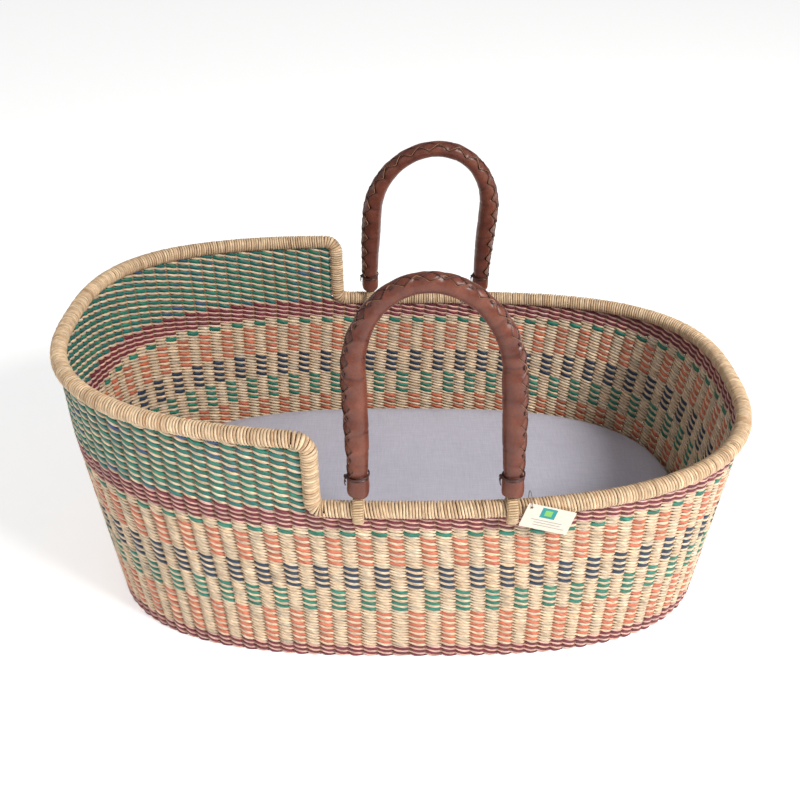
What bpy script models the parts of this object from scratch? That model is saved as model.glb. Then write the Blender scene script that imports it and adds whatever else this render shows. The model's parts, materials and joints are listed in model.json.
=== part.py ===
"""Woven grass baby basket: a raised head end, a low foot rim, two swinging
leather-covered carry handles, a mattress in a fitted sheet and a swing tag.

Metres, +Z up, head towards -X, front handle towards -Y.  The origin is on the
ground under the middle of the basket's bounding box.
"""

import math

import bmesh
import bpy
from mathutils import Matrix, Vector

# ---------------------------------------------------------------- basket
RIM_HALF_LENGTH = 0.420        # to the centre line of the rim
RIM_HALF_WIDTH = 0.246
BASE_HALF_LENGTH = 0.389       # to the middle of the wall
BASE_HALF_WIDTH = 0.226
RIM_EXPONENT = 2.72            # superellipse exponents of the plan outline
BASE_EXPONENT = 2.95
FOOT_RIM_HEIGHT = 0.248
HEAD_RIM_HEIGHT = 0.341
END_RISE = 0.012               # the rows climb this much towards both ends
HEAD_FLARE = 0.03              # outward lean of the head panel, run over rise
WALL_THICKNESS = 0.007
FLOOR_THICKNESS = 0.007
CLEARANCE = 0.0004             # between pieces that touch

# name, number of woven rows, height of one row, colour
BANDS = (
    ("weave_base_edge", 4, 0.00490, (0.30, 0.10, 0.13)),
    ("weave_lower_orange", 12, 0.00500, (0.80, 0.42, 0.28)),
    ("weave_green", 8, 0.00475, (0.16, 0.42, 0.33)),
    ("weave_navy", 8, 0.00475, (0.10, 0.15, 0.24)),
    ("weave_upper_orange", 10, 0.00465, (0.80, 0.42, 0.28)),
    ("weave_dash_row", 3, 0.00465, (0.74, 0.62, 0.44)),
    ("weave_maroon", 5, 0.00455, (0.36, 0.13, 0.16)),
)
WALL_STATIONS = 64
PANEL_STATIONS = 36            # along the head panel
TOE_DEGREES = (20, 40, 58)     # round the foot bend, from a step into its toe

# ------------------------------------------------------------------- rim
RIM_RADIUS = 0.0098
RIM_CORE_RADIUS = 0.0074
STEP_X = -0.105                # centre line of both step posts
STEP_FOOT_BEND = 0.012         # bend radii of the rim at the steps
STEP_HEAD_BEND = 0.017
RIM_SIDES = 8
RIM_GAP = RIM_RADIUS + CLEARANCE

# --------------------------------------------------------------- handles
LUG_X = (-0.0548, 0.1119)      # the two feet of each handle
HINGE_Y = 0.2446               # hinge axes, parallel to X, in the rim
HINGE_Z = 0.2485
HANDLE_LEAN = math.radians(8)  # both handles rest leaning inwards
HANDLES = (
    # name, side, height of the arch's centre line, sideways skew of its top
    ("front_handle", -1, 0.2605, -0.008),
    ("back_handle", 1, 0.2525, 0.014),
)
ARCH_RISE = 0.100
LUG_INNER_RADIUS = 0.0116
LUG_OUTER_RADIUS = 0.0166
LUG_WIDTH = 0.011
STEM_RADIUS = 0.0054
STEM_TOP = 0.0262
COLLAR_BOTTOM = 0.0186
COLLAR_TOP = 0.0408
COLLAR_RADIUS = 0.0117
TIE_RADIUS = 0.0011
SLEEVE_START = COLLAR_TOP + 2 * (TIE_RADIUS + CLEARANCE)
HANDLE_CORE_RADIUS = 0.0078
SLEEVE_FOOT_RADIUS = 0.0113
SLEEVE_LEG_RADIUS = 0.0136
SLEEVE_TOP_RADIUS = 0.0110
LACE_RADIUS = 0.0011
HANDLE_SIDES = 8
LUG_NOTCH_WIDTH = 0.0128
LUG_NOTCH_DEPTH = 0.0174

# -------------------------------------------------------------- mattress
MATTRESS_HALF_LENGTH = 0.3755
MATTRESS_HALF_WIDTH = 0.2105
MATTRESS_EXPONENT = 2.85
MATTRESS_TOP = 0.0725
MATTRESS_EDGE_RADIUS = 0.014
SHEET_THICKNESS = 0.0010
HEM_REACH = 0.035              # how far the sheet turns in underneath
ELASTIC_WIDTH = 0.006
ELASTIC_THICKNESS = 0.0016
MATTRESS_STATIONS = 48

# ------------------------------------------------------------- swing tag
TAG_LENGTH = 0.056
TAG_HEIGHT = 0.032
TAG_THICKNESS = 0.0006
TAG_HOLE_RADIUS = 0.0018
TAG_HOLE_INSET = 0.0050        # from the top edge and from the near end
TAG_TILT = math.radians(18)    # far end lower
TAG_TURN = math.radians(5)     # follows the rim's curve
TAG_HOLE = Vector((0.1318, -0.25495, 0.2590))
STRING_RADIUS = 0.0004
STRING_NOTCH_WIDTH = 0.0030
STRING_NOTCH_DEPTH = 0.0130


# ----------------------------------------------------------------- tools
def clear_scene():
    for thing in list(bpy.data.objects):
        bpy.data.objects.remove(thing, do_unlink=True)


def material(name, colour, roughness, metallic=0.0):
    made = bpy.data.materials.new(name)
    made.use_nodes = True
    shader = made.node_tree.nodes["Principled BSDF"]
    shader.inputs["Base Color"].default_value = (*colour, 1.0)
    shader.inputs["Roughness"].default_value = roughness
    shader.inputs["Metallic"].default_value = metallic
    return made


def add_object(name, bm, finish, origin=None, parent=None):
    """Turns a bmesh into one named object, with its own origin and parent."""
    bmesh.ops.recalc_face_normals(bm, faces=bm.faces)
    if origin is not None:
        bm.transform(Matrix.Translation(-origin))
    mesh = bpy.data.meshes.new(name)
    bm.to_mesh(mesh)
    bm.free()
    mesh.materials.append(finish)
    made = bpy.data.objects.new(name, mesh)
    bpy.context.scene.collection.objects.link(made)
    if origin is not None:
        made.location = origin
    if parent is not None:
        made.parent = parent
        made.location -= parent.location
    mesh.shade_smooth()
    mesh.set_sharp_from_angle(angle=math.radians(50))
    return made


def add_pivot(name, place):
    pivot = bpy.data.objects.new(name, None)
    pivot.location = place
    bpy.context.scene.collection.objects.link(pivot)
    return pivot


def loft(bm, rings, closed):
    """Joins rings of points with quads; an open loft gets end faces."""
    made = [[bm.verts.new(point) for point in ring] for ring in rings]
    pairs = list(zip(made, made[1:]))
    if closed:
        pairs.append((made[-1], made[0]))
    for low, high in pairs:
        count = len(low)
        for i in range(count):
            j = (i + 1) % count
            bm.faces.new((low[i], low[j], high[j], high[i]))
    if not closed:
        bm.faces.new(made[0][::-1])
        bm.faces.new(made[-1])
    return bm


def shell(bm, outer, inner):
    """An open-ended tube with thickness, from outer and inner rings."""
    count = len(outer[0])
    walls = [[[bm.verts.new(p) for p in ring] for ring in skin] for skin in (outer, inner)]
    for skin in walls:
        for low, high in zip(skin, skin[1:]):
            for i in range(count):
                j = (i + 1) % count
                bm.faces.new((low[i], low[j], high[j], high[i]))
    for end in (0, -1):
        out_ring, in_ring = walls[0][end], walls[1][end]
        for i in range(count):
            j = (i + 1) % count
            bm.faces.new((out_ring[i], out_ring[j], in_ring[j], in_ring[i]))
    return bm


def circle(centre, across, up, radius, sides):
    turns = (2 * math.pi * (i + 0.5) / sides for i in range(sides))
    return [centre + radius * (math.cos(a) * across + math.sin(a) * up) for a in turns]


def boolean(target, cutter, operation):
    """Applies one exact Boolean and removes the other object."""
    step = target.modifiers.new(operation.lower(), "BOOLEAN")
    step.operation = operation
    step.solver = "EXACT"
    step.object = cutter
    bpy.context.view_layer.update()
    evaluated = target.evaluated_get(bpy.context.evaluated_depsgraph_get())
    mesh = bpy.data.meshes.new_from_object(evaluated)
    target.modifiers.clear()
    target.data = mesh
    bpy.data.objects.remove(cutter, do_unlink=True)


def box_mesh(low, high):
    bm = bmesh.new()
    bmesh.ops.create_cube(bm, size=1.0)
    size = Vector(high) - Vector(low)
    middle = (Vector(high) + Vector(low)) / 2
    bm.transform(Matrix.Translation(middle) @ Matrix.Diagonal((*size, 1.0)))
    return bm


# ------------------------------------------------- the basket's surface
CENTRE_SHIFT = HEAD_FLARE * (HEAD_RIM_HEIGHT - FOOT_RIM_HEIGHT) / 2


def superellipse(angle, half_length, half_width, exponent):
    power = 2 / exponent
    c, s = math.cos(angle), math.sin(angle)
    x = half_length * math.copysign(abs(c) ** power, c)
    y = half_width * math.copysign(abs(s) ** power, s)
    return x, y


def wall_point(angle, height, outward=0.0):
    """A point of the wall's middle surface, or this far outward of it."""
    share = min(height / FOOT_RIM_HEIGHT, 1.0)
    flare = HEAD_FLARE * max(height - FOOT_RIM_HEIGHT, 0.0) + outward
    half_length = BASE_HALF_LENGTH + (RIM_HALF_LENGTH - BASE_HALF_LENGTH) * share + flare
    half_width = BASE_HALF_WIDTH + (RIM_HALF_WIDTH - BASE_HALF_WIDTH) * share + flare
    exponent = BASE_EXPONENT + (RIM_EXPONENT - BASE_EXPONENT) * share
    x, y = superellipse(angle, half_length, half_width, exponent)
    rise = END_RISE * share * (x / RIM_HALF_LENGTH) ** 2
    return Vector((x + CENTRE_SHIFT, y, height + rise))


def rim_lengths(samples=4096):
    """Lengths along the rim's outline at evenly spaced angles."""
    lengths = [0.0]
    last = wall_point(0.0, FOOT_RIM_HEIGHT)
    for i in range(1, samples + 1):
        point = wall_point(2 * math.pi * i / samples, FOOT_RIM_HEIGHT)
        lengths.append(lengths[-1] + (point - last).length)
        last = point
    return lengths


LENGTHS = rim_lengths()
PERIMETER = LENGTHS[-1]


def angle_at(length):
    """The outline's angle at this length along the rim from the foot end."""
    turns, length = divmod(length, PERIMETER)
    low, high = 0, len(LENGTHS) - 1
    while high - low > 1:
        middle = (low + high) // 2
        if LENGTHS[middle] <= length:
            low = middle
        else:
            high = middle
    share = low + (length - LENGTHS[low]) / (LENGTHS[high] - LENGTHS[low])
    return 2 * math.pi * (turns + share / (len(LENGTHS) - 1))


def length_at_x(x):
    """Length along the rim, on its +Y side, to the point at this x."""
    low, high = 0.0, PERIMETER / 2
    for _ in range(50):
        middle = (low + high) / 2
        if wall_point(angle_at(middle), FOOT_RIM_HEIGHT).x > x:
            low = middle
        else:
            high = middle
    return low


STEP_LENGTH = length_at_x(STEP_X)


def on_wall(length, height, outward=0.0):
    return wall_point(angle_at(length), height, outward)


# --------------------------------------------------------- woven pieces
def ring_angles():
    return [angle_at(PERIMETER * i / WALL_STATIONS) for i in range(WALL_STATIONS)]


def build_floor(finish):
    inset = WALL_THICKNESS / 2 + CLEARANCE
    bm = bmesh.new()
    rings = [[wall_point(a, 0.0, -inset) + Vector((0, 0, z)) for a in ring_angles()]
             for z in (0.0, FLOOR_THICKNESS)]
    loft(bm, rings, closed=False)
    add_object("woven_floor", bm, finish)


def build_band(name, low, high, finish):
    half = WALL_THICKNESS / 2
    corners = ((low, half), (high, half), (high, -half), (low, -half))
    bm = bmesh.new()
    rings = [[wall_point(a, z, out) for z, out in corners] for a in ring_angles()]
    loft(bm, rings, closed=True)
    return add_object(name, bm, finish)


def cut_notches(band):
    """Slots under the rim for the handle lugs and for the tag's string."""
    slots = [(x, side, LUG_NOTCH_WIDTH, LUG_NOTCH_DEPTH) for x in LUG_X for side in (-1, 1)]
    slots.append((TAG_HOLE.x, -1, STRING_NOTCH_WIDTH, STRING_NOTCH_DEPTH))
    for x, side, width, depth in slots:
        low = (x - width / 2, side * HINGE_Y - 0.02, HINGE_Z - depth)
        high = (x + width / 2, side * HINGE_Y + 0.02, HINGE_Z)
        cutter = add_object("slot_cutter", box_mesh(low, high), band.data.materials[0])
        boolean(band, cutter, "DIFFERENCE")


def build_bands():
    low = 0.0
    for name, rows, row_height, colour in BANDS:
        high = low + rows * row_height
        if name == BANDS[-1][0]:
            high = FOOT_RIM_HEIGHT - RIM_GAP
        band = build_band(name, low, high, material(name, colour, 0.7))
        low = high + CLEARANCE
    cut_notches(band)
    return low


def head_top(length):
    """Top of the head panel at this length, from one step to the other."""
    corner = STEP_HEAD_BEND - RIM_GAP
    near = min(length, PERIMETER - length) - (STEP_LENGTH + RIM_GAP)
    level = HEAD_RIM_HEIGHT - RIM_GAP
    if near >= corner:
        return level
    return level - corner + math.sqrt(max(corner ** 2 - (corner - near) ** 2, 0.0))


def panel_columns(low):
    """(length, heights) of every column of points, from one toe to the other.
    Both columns at the steps have a third point, where their toe begins."""
    first, last = STEP_LENGTH + RIM_GAP, PERIMETER - STEP_LENGTH - RIM_GAP
    corner = STEP_HEAD_BEND - RIM_GAP
    span = last - first - 2 * corner
    lengths = [first, first + 0.2 * corner]
    lengths += [first + corner + span * i / PANEL_STATIONS for i in range(PANEL_STATIONS + 1)]
    lengths += [last - 0.2 * corner, last]
    middle = [(s, [low, head_top(s)]) for s in lengths]
    toe_start = FOOT_RIM_HEIGHT + STEP_FOOT_BEND
    for _, heights in (middle[0], middle[-1]):
        heights.insert(1, toe_start)
    radius = STEP_FOOT_BEND + RIM_GAP
    toe = []
    for degrees in TOE_DEGREES:
        a = math.radians(degrees)
        toe.append((STEP_LENGTH - STEP_FOOT_BEND + radius * math.cos(a),
                    [low, toe_start - radius * math.sin(a)]))
    return toe[::-1] + middle + [(PERIMETER - s, heights) for s, heights in toe]


def build_head_panel(low, finish):
    """The raised end, from the toe at one step to the toe at the other."""
    bm = bmesh.new()
    columns = panel_columns(low)
    half = WALL_THICKNESS / 2
    skins = [[[bm.verts.new(on_wall(s, z, out)) for z in heights] for s, heights in columns]
             for out in (half, -half)]
    toes = len(TOE_DEGREES)
    outlines = []
    for skin in skins:
        for k, (left, right) in enumerate(zip(skin, skin[1:])):
            near = left[:2] if k >= len(skin) - 1 - toes else left
            far = right[:2] if k < toes else right
            bm.faces.new(near[::-1] + far)
        outline = [column[0] for column in skin[::-1]]
        for k, column in enumerate(skin):
            outline += column[1:] if k < len(skin) // 2 else column[:0:-1]
        outlines.append(outline)
    outer, inner = outlines
    for i in range(len(outer)):
        j = (i + 1) % len(outer)
        bm.faces.new((outer[i], outer[j], inner[j], inner[i]))
    add_object("weave_head_panel", bm, finish)


# ------------------------------------------------------------------ rim
def arc(centre_s, centre_z, radius, start, stop, steps):
    angles = (math.radians(start + (stop - start) * i / steps) for i in range(steps + 1))
    return [(centre_s + radius * math.cos(a), centre_z + radius * math.sin(a)) for a in angles]


def run(start, stop, height, steps):
    return [(start + (stop - start) * i / steps, height) for i in range(steps + 1)]


def rim_route():
    """The rim's centre line in four stretches of (length, height)."""
    foot, head = FOOT_RIM_HEIGHT, HEAD_RIM_HEIGHT
    near, far = STEP_FOOT_BEND, STEP_HEAD_BEND
    step = STEP_LENGTH
    back_step = arc(step - near, foot + near, near, -90, 0, 3)
    back_step += arc(step + far, head - far, far, 180, 90, 3)
    front_step = [(PERIMETER - s, z) for s, z in back_step[::-1]]
    return {
        "rim_wrap_foot": run(near - step, step - near, foot, 44),
        "rim_wrap_back_step": back_step,
        "rim_wrap_head": run(step + far, PERIMETER - step - far, head, 36),
        "rim_wrap_front_step": front_step,
    }


def loop_frames(route):
    """Points of a closed route on the wall, each with its tangent, the
    outward direction and the direction square to both."""
    points = [on_wall(s, z) for s, z in route]
    frames = []
    for i, (s, z) in enumerate(route):
        along = (points[(i + 1) % len(points)] - points[i - 1]).normalized()
        outward = on_wall(s, z, 0.01) - points[i]
        outward = (outward - along * outward.dot(along)).normalized()
        frames.append((points[i], along, outward, along.cross(outward)))
    return frames


def build_rim(core_finish, wrap_finish):
    stretches = rim_route()
    loop = [point for route in stretches.values() for point in route[:-1]]
    frames = loop_frames(loop)
    start = 0
    for name, route in stretches.items():
        stop = start + len(route) - 1
        part = [frames[i % len(frames)] for i in range(start, stop + 1)]
        for end, sign in ((0, 1), (-1, -1)):
            centre, along, outward, up = part[end]
            part[end] = (centre + sign * CLEARANCE * along, along, outward, up)
        outer, inner = ([circle(c, outward, up, radius, RIM_SIDES)
                         for c, _, outward, up in part]
                        for radius in (RIM_RADIUS, RIM_CORE_RADIUS + CLEARANCE))
        add_object(name, shell(bmesh.new(), outer, inner), wrap_finish)
        start = stop
    rings = [circle(c, outward, up, RIM_CORE_RADIUS, RIM_SIDES) for c, _, outward, up in frames]
    add_object("rim_core", loft(bmesh.new(), rings, closed=True), core_finish)


# -------------------------------------------------------------- handles
class HandlePlane:
    """The leaning plane of one handle: x along the rim, h up the handle."""

    def __init__(self, side):
        self.side = side
        self.pivot = Vector((0.0, side * HINGE_Y, HINGE_Z))
        self.up = Vector((0.0, -side * math.sin(HANDLE_LEAN), math.cos(HANDLE_LEAN)))
        self.out = Vector((0.0, side * math.cos(HANDLE_LEAN), math.sin(HANDLE_LEAN)))

    def place(self, x, h, out=0.0):
        return self.pivot + Vector((x, 0, 0)) + h * self.up + out * self.out


def arch_route(start, height, skew, leg_steps=6, arch_steps=12):
    """Centre line of the handle as (x, h), from the left foot to the right."""
    middle = (LUG_X[0] + LUG_X[1]) / 2
    reach = (LUG_X[1] - LUG_X[0]) / 2
    spring = height - ARCH_RISE
    left = [(-reach, start + (spring - start) * i / leg_steps) for i in range(leg_steps)]
    top = []
    for i in range(arch_steps + 1):
        a = math.pi * (1 - i / arch_steps)
        top.append((reach * math.cos(a), spring + ARCH_RISE * math.sin(a)))
    right = [(-x, h) for x, h in left[::-1]]
    route = []
    for x, h in left + top + right:
        share = max(h - SLEEVE_START, 0.0) / (height - SLEEVE_START)
        route.append((middle + x + skew * share ** 1.5, h))
    return route


def arch_frames(plane, route):
    """Points of the arch, the way off its outer edge, and the way out."""
    points = [plane.place(x, h) for x, h in route]
    frames = []
    for i, point in enumerate(points):
        along = (points[min(i + 1, len(points) - 1)] - points[max(i - 1, 0)]).normalized()
        edge = plane.side * along.cross(plane.out).normalized()
        frames.append((point, edge, plane.out))
    return frames


def sleeve_radius(h, height):
    """Slim at the feet, fullest half way up the legs, slimmer on the top."""
    share = (h - SLEEVE_START) / (height - SLEEVE_START)
    if share < 0.45:
        blend = math.sin(math.pi / 2 * share / 0.45)
        return SLEEVE_FOOT_RADIUS + (SLEEVE_LEG_RADIUS - SLEEVE_FOOT_RADIUS) * blend
    blend = (1 - math.cos(math.pi * (share - 0.45) / 0.55)) / 2
    return SLEEVE_LEG_RADIUS + (SLEEVE_TOP_RADIUS - SLEEVE_LEG_RADIUS) * blend


def lathe(plane, x, profile, sides):
    """A ring turned about the leg's axis from a closed (radius, h) profile."""
    bm = bmesh.new()
    across = Vector((1, 0, 0))
    rings = []
    for i in range(sides):
        a = 2 * math.pi * i / sides
        spoke = math.cos(a) * across + math.sin(a) * plane.out
        rings.append([plane.place(x, h) + r * spoke for r, h in profile])
    return loft(bm, rings, closed=True)


def build_lug(name, plane, x, finish, parent):
    """A grass-bound ring round the rim, with a stem up into the collar."""
    bm = bmesh.new()
    sides = 16
    rings = []
    for i in range(sides):
        a = 2 * math.pi * i / sides
        spoke = math.cos(a) * plane.up + math.sin(a) * plane.out
        corners = ((LUG_OUTER_RADIUS, -1), (LUG_OUTER_RADIUS, 1),
                   (LUG_INNER_RADIUS, 1), (LUG_INNER_RADIUS, -1))
        rings.append([plane.place(x + end * LUG_WIDTH / 2, 0.0) + r * spoke
                      for r, end in corners])
    loft(bm, rings, closed=True)
    ring = add_object(name, bm, finish, plane.pivot, parent)
    middle_radius = (LUG_INNER_RADIUS + LUG_OUTER_RADIUS) / 2
    across = Vector((1, 0, 0))
    ends = [circle(plane.place(x, h), across, plane.out, STEM_RADIUS, 10)
            for h in (middle_radius, STEM_TOP)]
    stem = add_object("stem", loft(bmesh.new(), ends, closed=False), finish)
    boolean(ring, stem, "UNION")


def build_handle(name, side, height, skew, finishes):
    plane = HandlePlane(side)
    pivot = add_pivot(name + "_pivot", plane.pivot)
    leather, dark, grass, core_grass = finishes

    route = arch_route(SLEEVE_START, height, skew)
    frames = arch_frames(plane, route)
    radii = [sleeve_radius(h, height) for _, h in route]
    outer = [circle(c, n, d, r, HANDLE_SIDES) for (c, n, d), r in zip(frames, radii)]
    inner = [circle(c, n, d, HANDLE_CORE_RADIUS + CLEARANCE, HANDLE_SIDES)
             for c, n, d in frames]
    add_object(name + "_leather_sleeve", shell(bmesh.new(), outer, inner), leather,
               plane.pivot, pivot)

    lace_rings = []
    for (c, n, d), r in zip(frames, radii):
        lift = r + LACE_RADIUS + CLEARANCE
        lace_rings.append(circle(c + n * lift, n, d, LACE_RADIUS, 4))
    add_object(name + "_seam_lace", loft(bmesh.new(), lace_rings, closed=False), dark,
               plane.pivot, pivot)

    core_route = arch_route(STEM_TOP + CLEARANCE, height, skew)
    core_rings = [circle(c, n, d, HANDLE_CORE_RADIUS, HANDLE_SIDES)
                  for c, n, d in arch_frames(plane, core_route)]
    add_object(name + "_core", loft(bmesh.new(), core_rings, closed=False), core_grass,
               plane.pivot, pivot)

    throat = STEM_RADIUS + CLEARANCE
    bore = HANDLE_CORE_RADIUS + CLEARANCE
    lip_top = STEM_TOP - CLEARANCE
    collar = ((COLLAR_RADIUS, COLLAR_BOTTOM), (COLLAR_RADIUS, COLLAR_TOP), (bore, COLLAR_TOP),
              (bore, lip_top), (throat, lip_top), (throat, COLLAR_BOTTOM))
    tie_h = COLLAR_TOP + CLEARANCE + TIE_RADIUS
    tie_r = bore + 2 * TIE_RADIUS + CLEARANCE
    tie = [(tie_r + TIE_RADIUS * math.cos(math.radians(60 * k)),
            tie_h + TIE_RADIUS * math.sin(math.radians(60 * k))) for k in range(6)]
    for foot, x in zip(("head", "foot"), LUG_X):
        add_object(f"{name}_{foot}_side_collar", lathe(plane, x, collar, 16), leather,
                   plane.pivot, pivot)
        add_object(f"{name}_{foot}_side_tie", lathe(plane, x, tie, 12), dark,
                   plane.pivot, pivot)
        build_lug(f"{name}_{foot}_side_lug", plane, x, grass, pivot)


# ------------------------------------------------------------- mattress
def mattress_ring(grow, height):
    ring = []
    for i in range(MATTRESS_STATIONS):
        a = angle_at(PERIMETER * i / MATTRESS_STATIONS)
        x, y = superellipse(a, MATTRESS_HALF_LENGTH + grow, MATTRESS_HALF_WIDTH + grow,
                            MATTRESS_EXPONENT)
        ring.append(Vector((x + CENTRE_SHIFT, y, height)))
    return ring


def edge_profile(inset, low, high):
    """(grow, height) up the mattress side, with rounded edges."""
    radius = MATTRESS_EDGE_RADIUS - inset
    profile = []
    for centre, degrees in ((low + radius, (-90, -45, 0)), (high - radius, (0, 45, 90))):
        for d in degrees:
            a = math.radians(d)
            profile.append((-inset - radius + radius * math.cos(a),
                            centre + radius * math.sin(a)))
    return profile


def build_mattress(pad_finish, sheet_finish, elastic_finish):
    bottom = FLOOR_THICKNESS + CLEARANCE
    under = bottom + ELASTIC_THICKNESS + 2 * CLEARANCE
    pivot = add_pivot("mattress_pivot", Vector((CENTRE_SHIFT, 0, 0)))
    skin = SHEET_THICKNESS
    gap = skin + CLEARANCE
    sheet_low = under

    pad_rings = [mattress_ring(grow, z)
                 for grow, z in edge_profile(gap, sheet_low + gap, MATTRESS_TOP - gap)]
    add_object("mattress_pad", loft(bmesh.new(), pad_rings, closed=False), pad_finish,
               pivot.location, pivot)

    outer = edge_profile(0.0, sheet_low, MATTRESS_TOP)
    inner = edge_profile(skin, sheet_low + skin, MATTRESS_TOP - skin)
    bm = bmesh.new()
    skins = []
    for profile, hem_height in ((outer, sheet_low), (inner, sheet_low + skin)):
        rings = [mattress_ring(-HEM_REACH, hem_height)]
        rings += [mattress_ring(grow, z) for grow, z in profile]
        skins.append([[bm.verts.new(p) for p in ring] for ring in rings])
    for rings in skins:
        for low, high in zip(rings, rings[1:]):
            for i in range(MATTRESS_STATIONS):
                j = (i + 1) % MATTRESS_STATIONS
                bm.faces.new((low[i], low[j], high[j], high[i]))
        bm.faces.new(rings[-1])
    for i in range(MATTRESS_STATIONS):
        j = (i + 1) % MATTRESS_STATIONS
        hem_out, hem_in = skins[0][0], skins[1][0]
        bm.faces.new((hem_out[i], hem_out[j], hem_in[j], hem_in[i]))
    add_object("fitted_sheet", bm, sheet_finish, pivot.location, pivot)

    bm = bmesh.new()
    low, high = bottom, bottom + ELASTIC_THICKNESS
    inner_ring, outer_ring = -HEM_REACH, -HEM_REACH + ELASTIC_WIDTH
    corners = ((outer_ring, low), (outer_ring, high), (inner_ring, high), (inner_ring, low))
    rings = [mattress_ring(grow, z) for grow, z in corners]
    loft(bm, [list(column) for column in zip(*rings)], closed=True)
    add_object("sheet_hem_elastic", bm, elastic_finish, pivot.location, pivot)


# ------------------------------------------------------------ swing tag
def tag_directions():
    """Along the card, up the card, and out of its front."""
    turn = Matrix.Rotation(TAG_TURN, 3, "Z")
    along = turn @ Vector((math.cos(TAG_TILT), 0, -math.sin(TAG_TILT)))
    up = turn @ Vector((math.sin(TAG_TILT), 0, math.cos(TAG_TILT)))
    return along, up, along.cross(up)


def build_tag(finish):
    along, up, front = tag_directions()
    bm = bmesh.new()
    sides = 16
    hole, edge = [], []
    left, right = -TAG_HOLE_INSET, TAG_LENGTH - TAG_HOLE_INSET
    top, bottom = TAG_HOLE_INSET, TAG_HOLE_INSET - TAG_HEIGHT
    for i in range(sides):
        a = 2 * math.pi * (i + 0.5) / sides
        c, s = math.cos(a), math.sin(a)
        hole.append((TAG_HOLE_RADIUS * c, TAG_HOLE_RADIUS * s))
        reach = min(abs((right if c > 0 else left) / c), abs((top if s > 0 else bottom) / s))
        edge.append([reach * c, reach * s])
    for cx, cy in ((left, top), (left, bottom), (right, top), (right, bottom)):
        nearest = min(edge, key=lambda p: math.hypot(p[0] - cx, p[1] - cy))
        nearest[0], nearest[1] = cx, cy
    skins = []
    for lift in (TAG_THICKNESS / 2, -TAG_THICKNESS / 2):
        skins.append([[bm.verts.new(TAG_HOLE + x * along + y * up + lift * front)
                       for x, y in ring] for ring in (hole, edge)])
    for i in range(sides):
        j = (i + 1) % sides
        for ring_hole, ring_edge in skins:
            bm.faces.new((ring_hole[i], ring_hole[j], ring_edge[j], ring_edge[i]))
        for k in (0, 1):
            near, far = skins[0][k], skins[1][k]
            bm.faces.new((near[i], near[j], far[j], far[i]))
    pivot = add_pivot("tag_pivot", TAG_HOLE)
    add_object("swing_tag", bm, finish, TAG_HOLE, pivot)


# the string's loop round the rim, outward of and above the rim's centre line
STRING_ROUTE = (
    (0.0132, 0.0100), (0.0143, 0.0112), (0.0145, 0.0140), (0.0134, 0.0166),
    (0.0105, 0.0190), (0.0060, 0.0204), (0.0005, 0.0200), (-0.0050, 0.0178),
    (-0.0095, 0.0138), (-0.0121, 0.0080), (-0.0127, 0.0010), (-0.0116, -0.0055),
    (-0.0082, -0.0100), (-0.0032, -0.0121), (0.0022, -0.0121), (0.0067, -0.0103),
    (0.0096, -0.0066), (0.0109, -0.0018), (0.0111, 0.0034), (0.0112, 0.0074),
    (0.0121, 0.0096),
)


def front_rim_centre(x):
    return on_wall(PERIMETER - length_at_x(x), FOOT_RIM_HEIGHT)


def smooth_route(points, per_span):
    """Points of a Catmull-Rom curve through the given ones."""
    padded = [2 * points[0] - points[1]] + points + [2 * points[-1] - points[-2]]
    made = []
    for k in range(1, len(padded) - 2):
        p0, p1, p2, p3 = padded[k - 1:k + 3]
        for i in range(per_span):
            t = i / per_span
            made.append(0.5 * (2 * p1 + (p2 - p0) * t
                               + (2 * p0 - 5 * p1 + 4 * p2 - p3) * t * t
                               + (3 * p1 - p0 - 3 * p2 + p3) * t ** 3))
    return made + [points[-1]]


def build_string(finish):
    rim = front_rim_centre(TAG_HOLE.x)
    points = [rim + Vector((0, -out, up)) for out, up in STRING_ROUTE]
    curve = bpy.data.curves.new("tag_string", "CURVE")
    curve.dimensions = "3D"
    curve.bevel_depth = STRING_RADIUS
    curve.bevel_resolution = 2
    curve.use_fill_caps = True
    route = smooth_route(points, 2)
    spline = curve.splines.new("POLY")
    spline.points.add(len(route) - 1)
    for slot, point in zip(spline.points, route):
        slot.co = (*point, 1.0)
    curve.materials.append(finish)
    made = bpy.data.objects.new("tag_string", curve)
    bpy.context.scene.collection.objects.link(made)


# ----------------------------------------------------------------- build
def main():
    clear_scene()
    straw = material("straw", (0.78, 0.62, 0.38), 0.6)
    grass_core = material("grass_core", (0.62, 0.50, 0.32), 0.8)
    cream_grass = material("cream_grass", (0.82, 0.72, 0.52), 0.6)
    leather = material("leather", (0.36, 0.13, 0.07), 0.45)
    dark_thong = material("dark_thong", (0.10, 0.05, 0.04), 0.5)

    build_floor(material("floor_grass", (0.74, 0.60, 0.40), 0.75))
    head_low = build_bands()
    build_head_panel(head_low, material("weave_head_panel", (0.12, 0.38, 0.34), 0.7))
    build_rim(grass_core, straw)
    for name, side, height, skew in HANDLES:
        build_handle(name, side, height, skew, (leather, dark_thong, cream_grass, grass_core))
    build_mattress(material("foam", (0.88, 0.86, 0.80), 0.9),
                   material("sheet", (0.58, 0.57, 0.66), 0.85),
                   material("elastic", (0.80, 0.80, 0.82), 0.8))
    build_tag(material("card", (0.90, 0.88, 0.84), 0.55))
    build_string(material("string", (0.30, 0.28, 0.26), 0.4))


main()
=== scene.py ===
"""Looks of the woven baby basket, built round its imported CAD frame.

Metres, +Z up, head towards -X, front handle towards -Y.  The grass is real
twined strands, the rim real turns of straw, the leather a laced tube, and the
mattress a padded shape in a simulated sheet.
"""

import json
import math

import bmesh
import bpy
import numpy as np
from mathutils import Matrix, Vector

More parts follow.
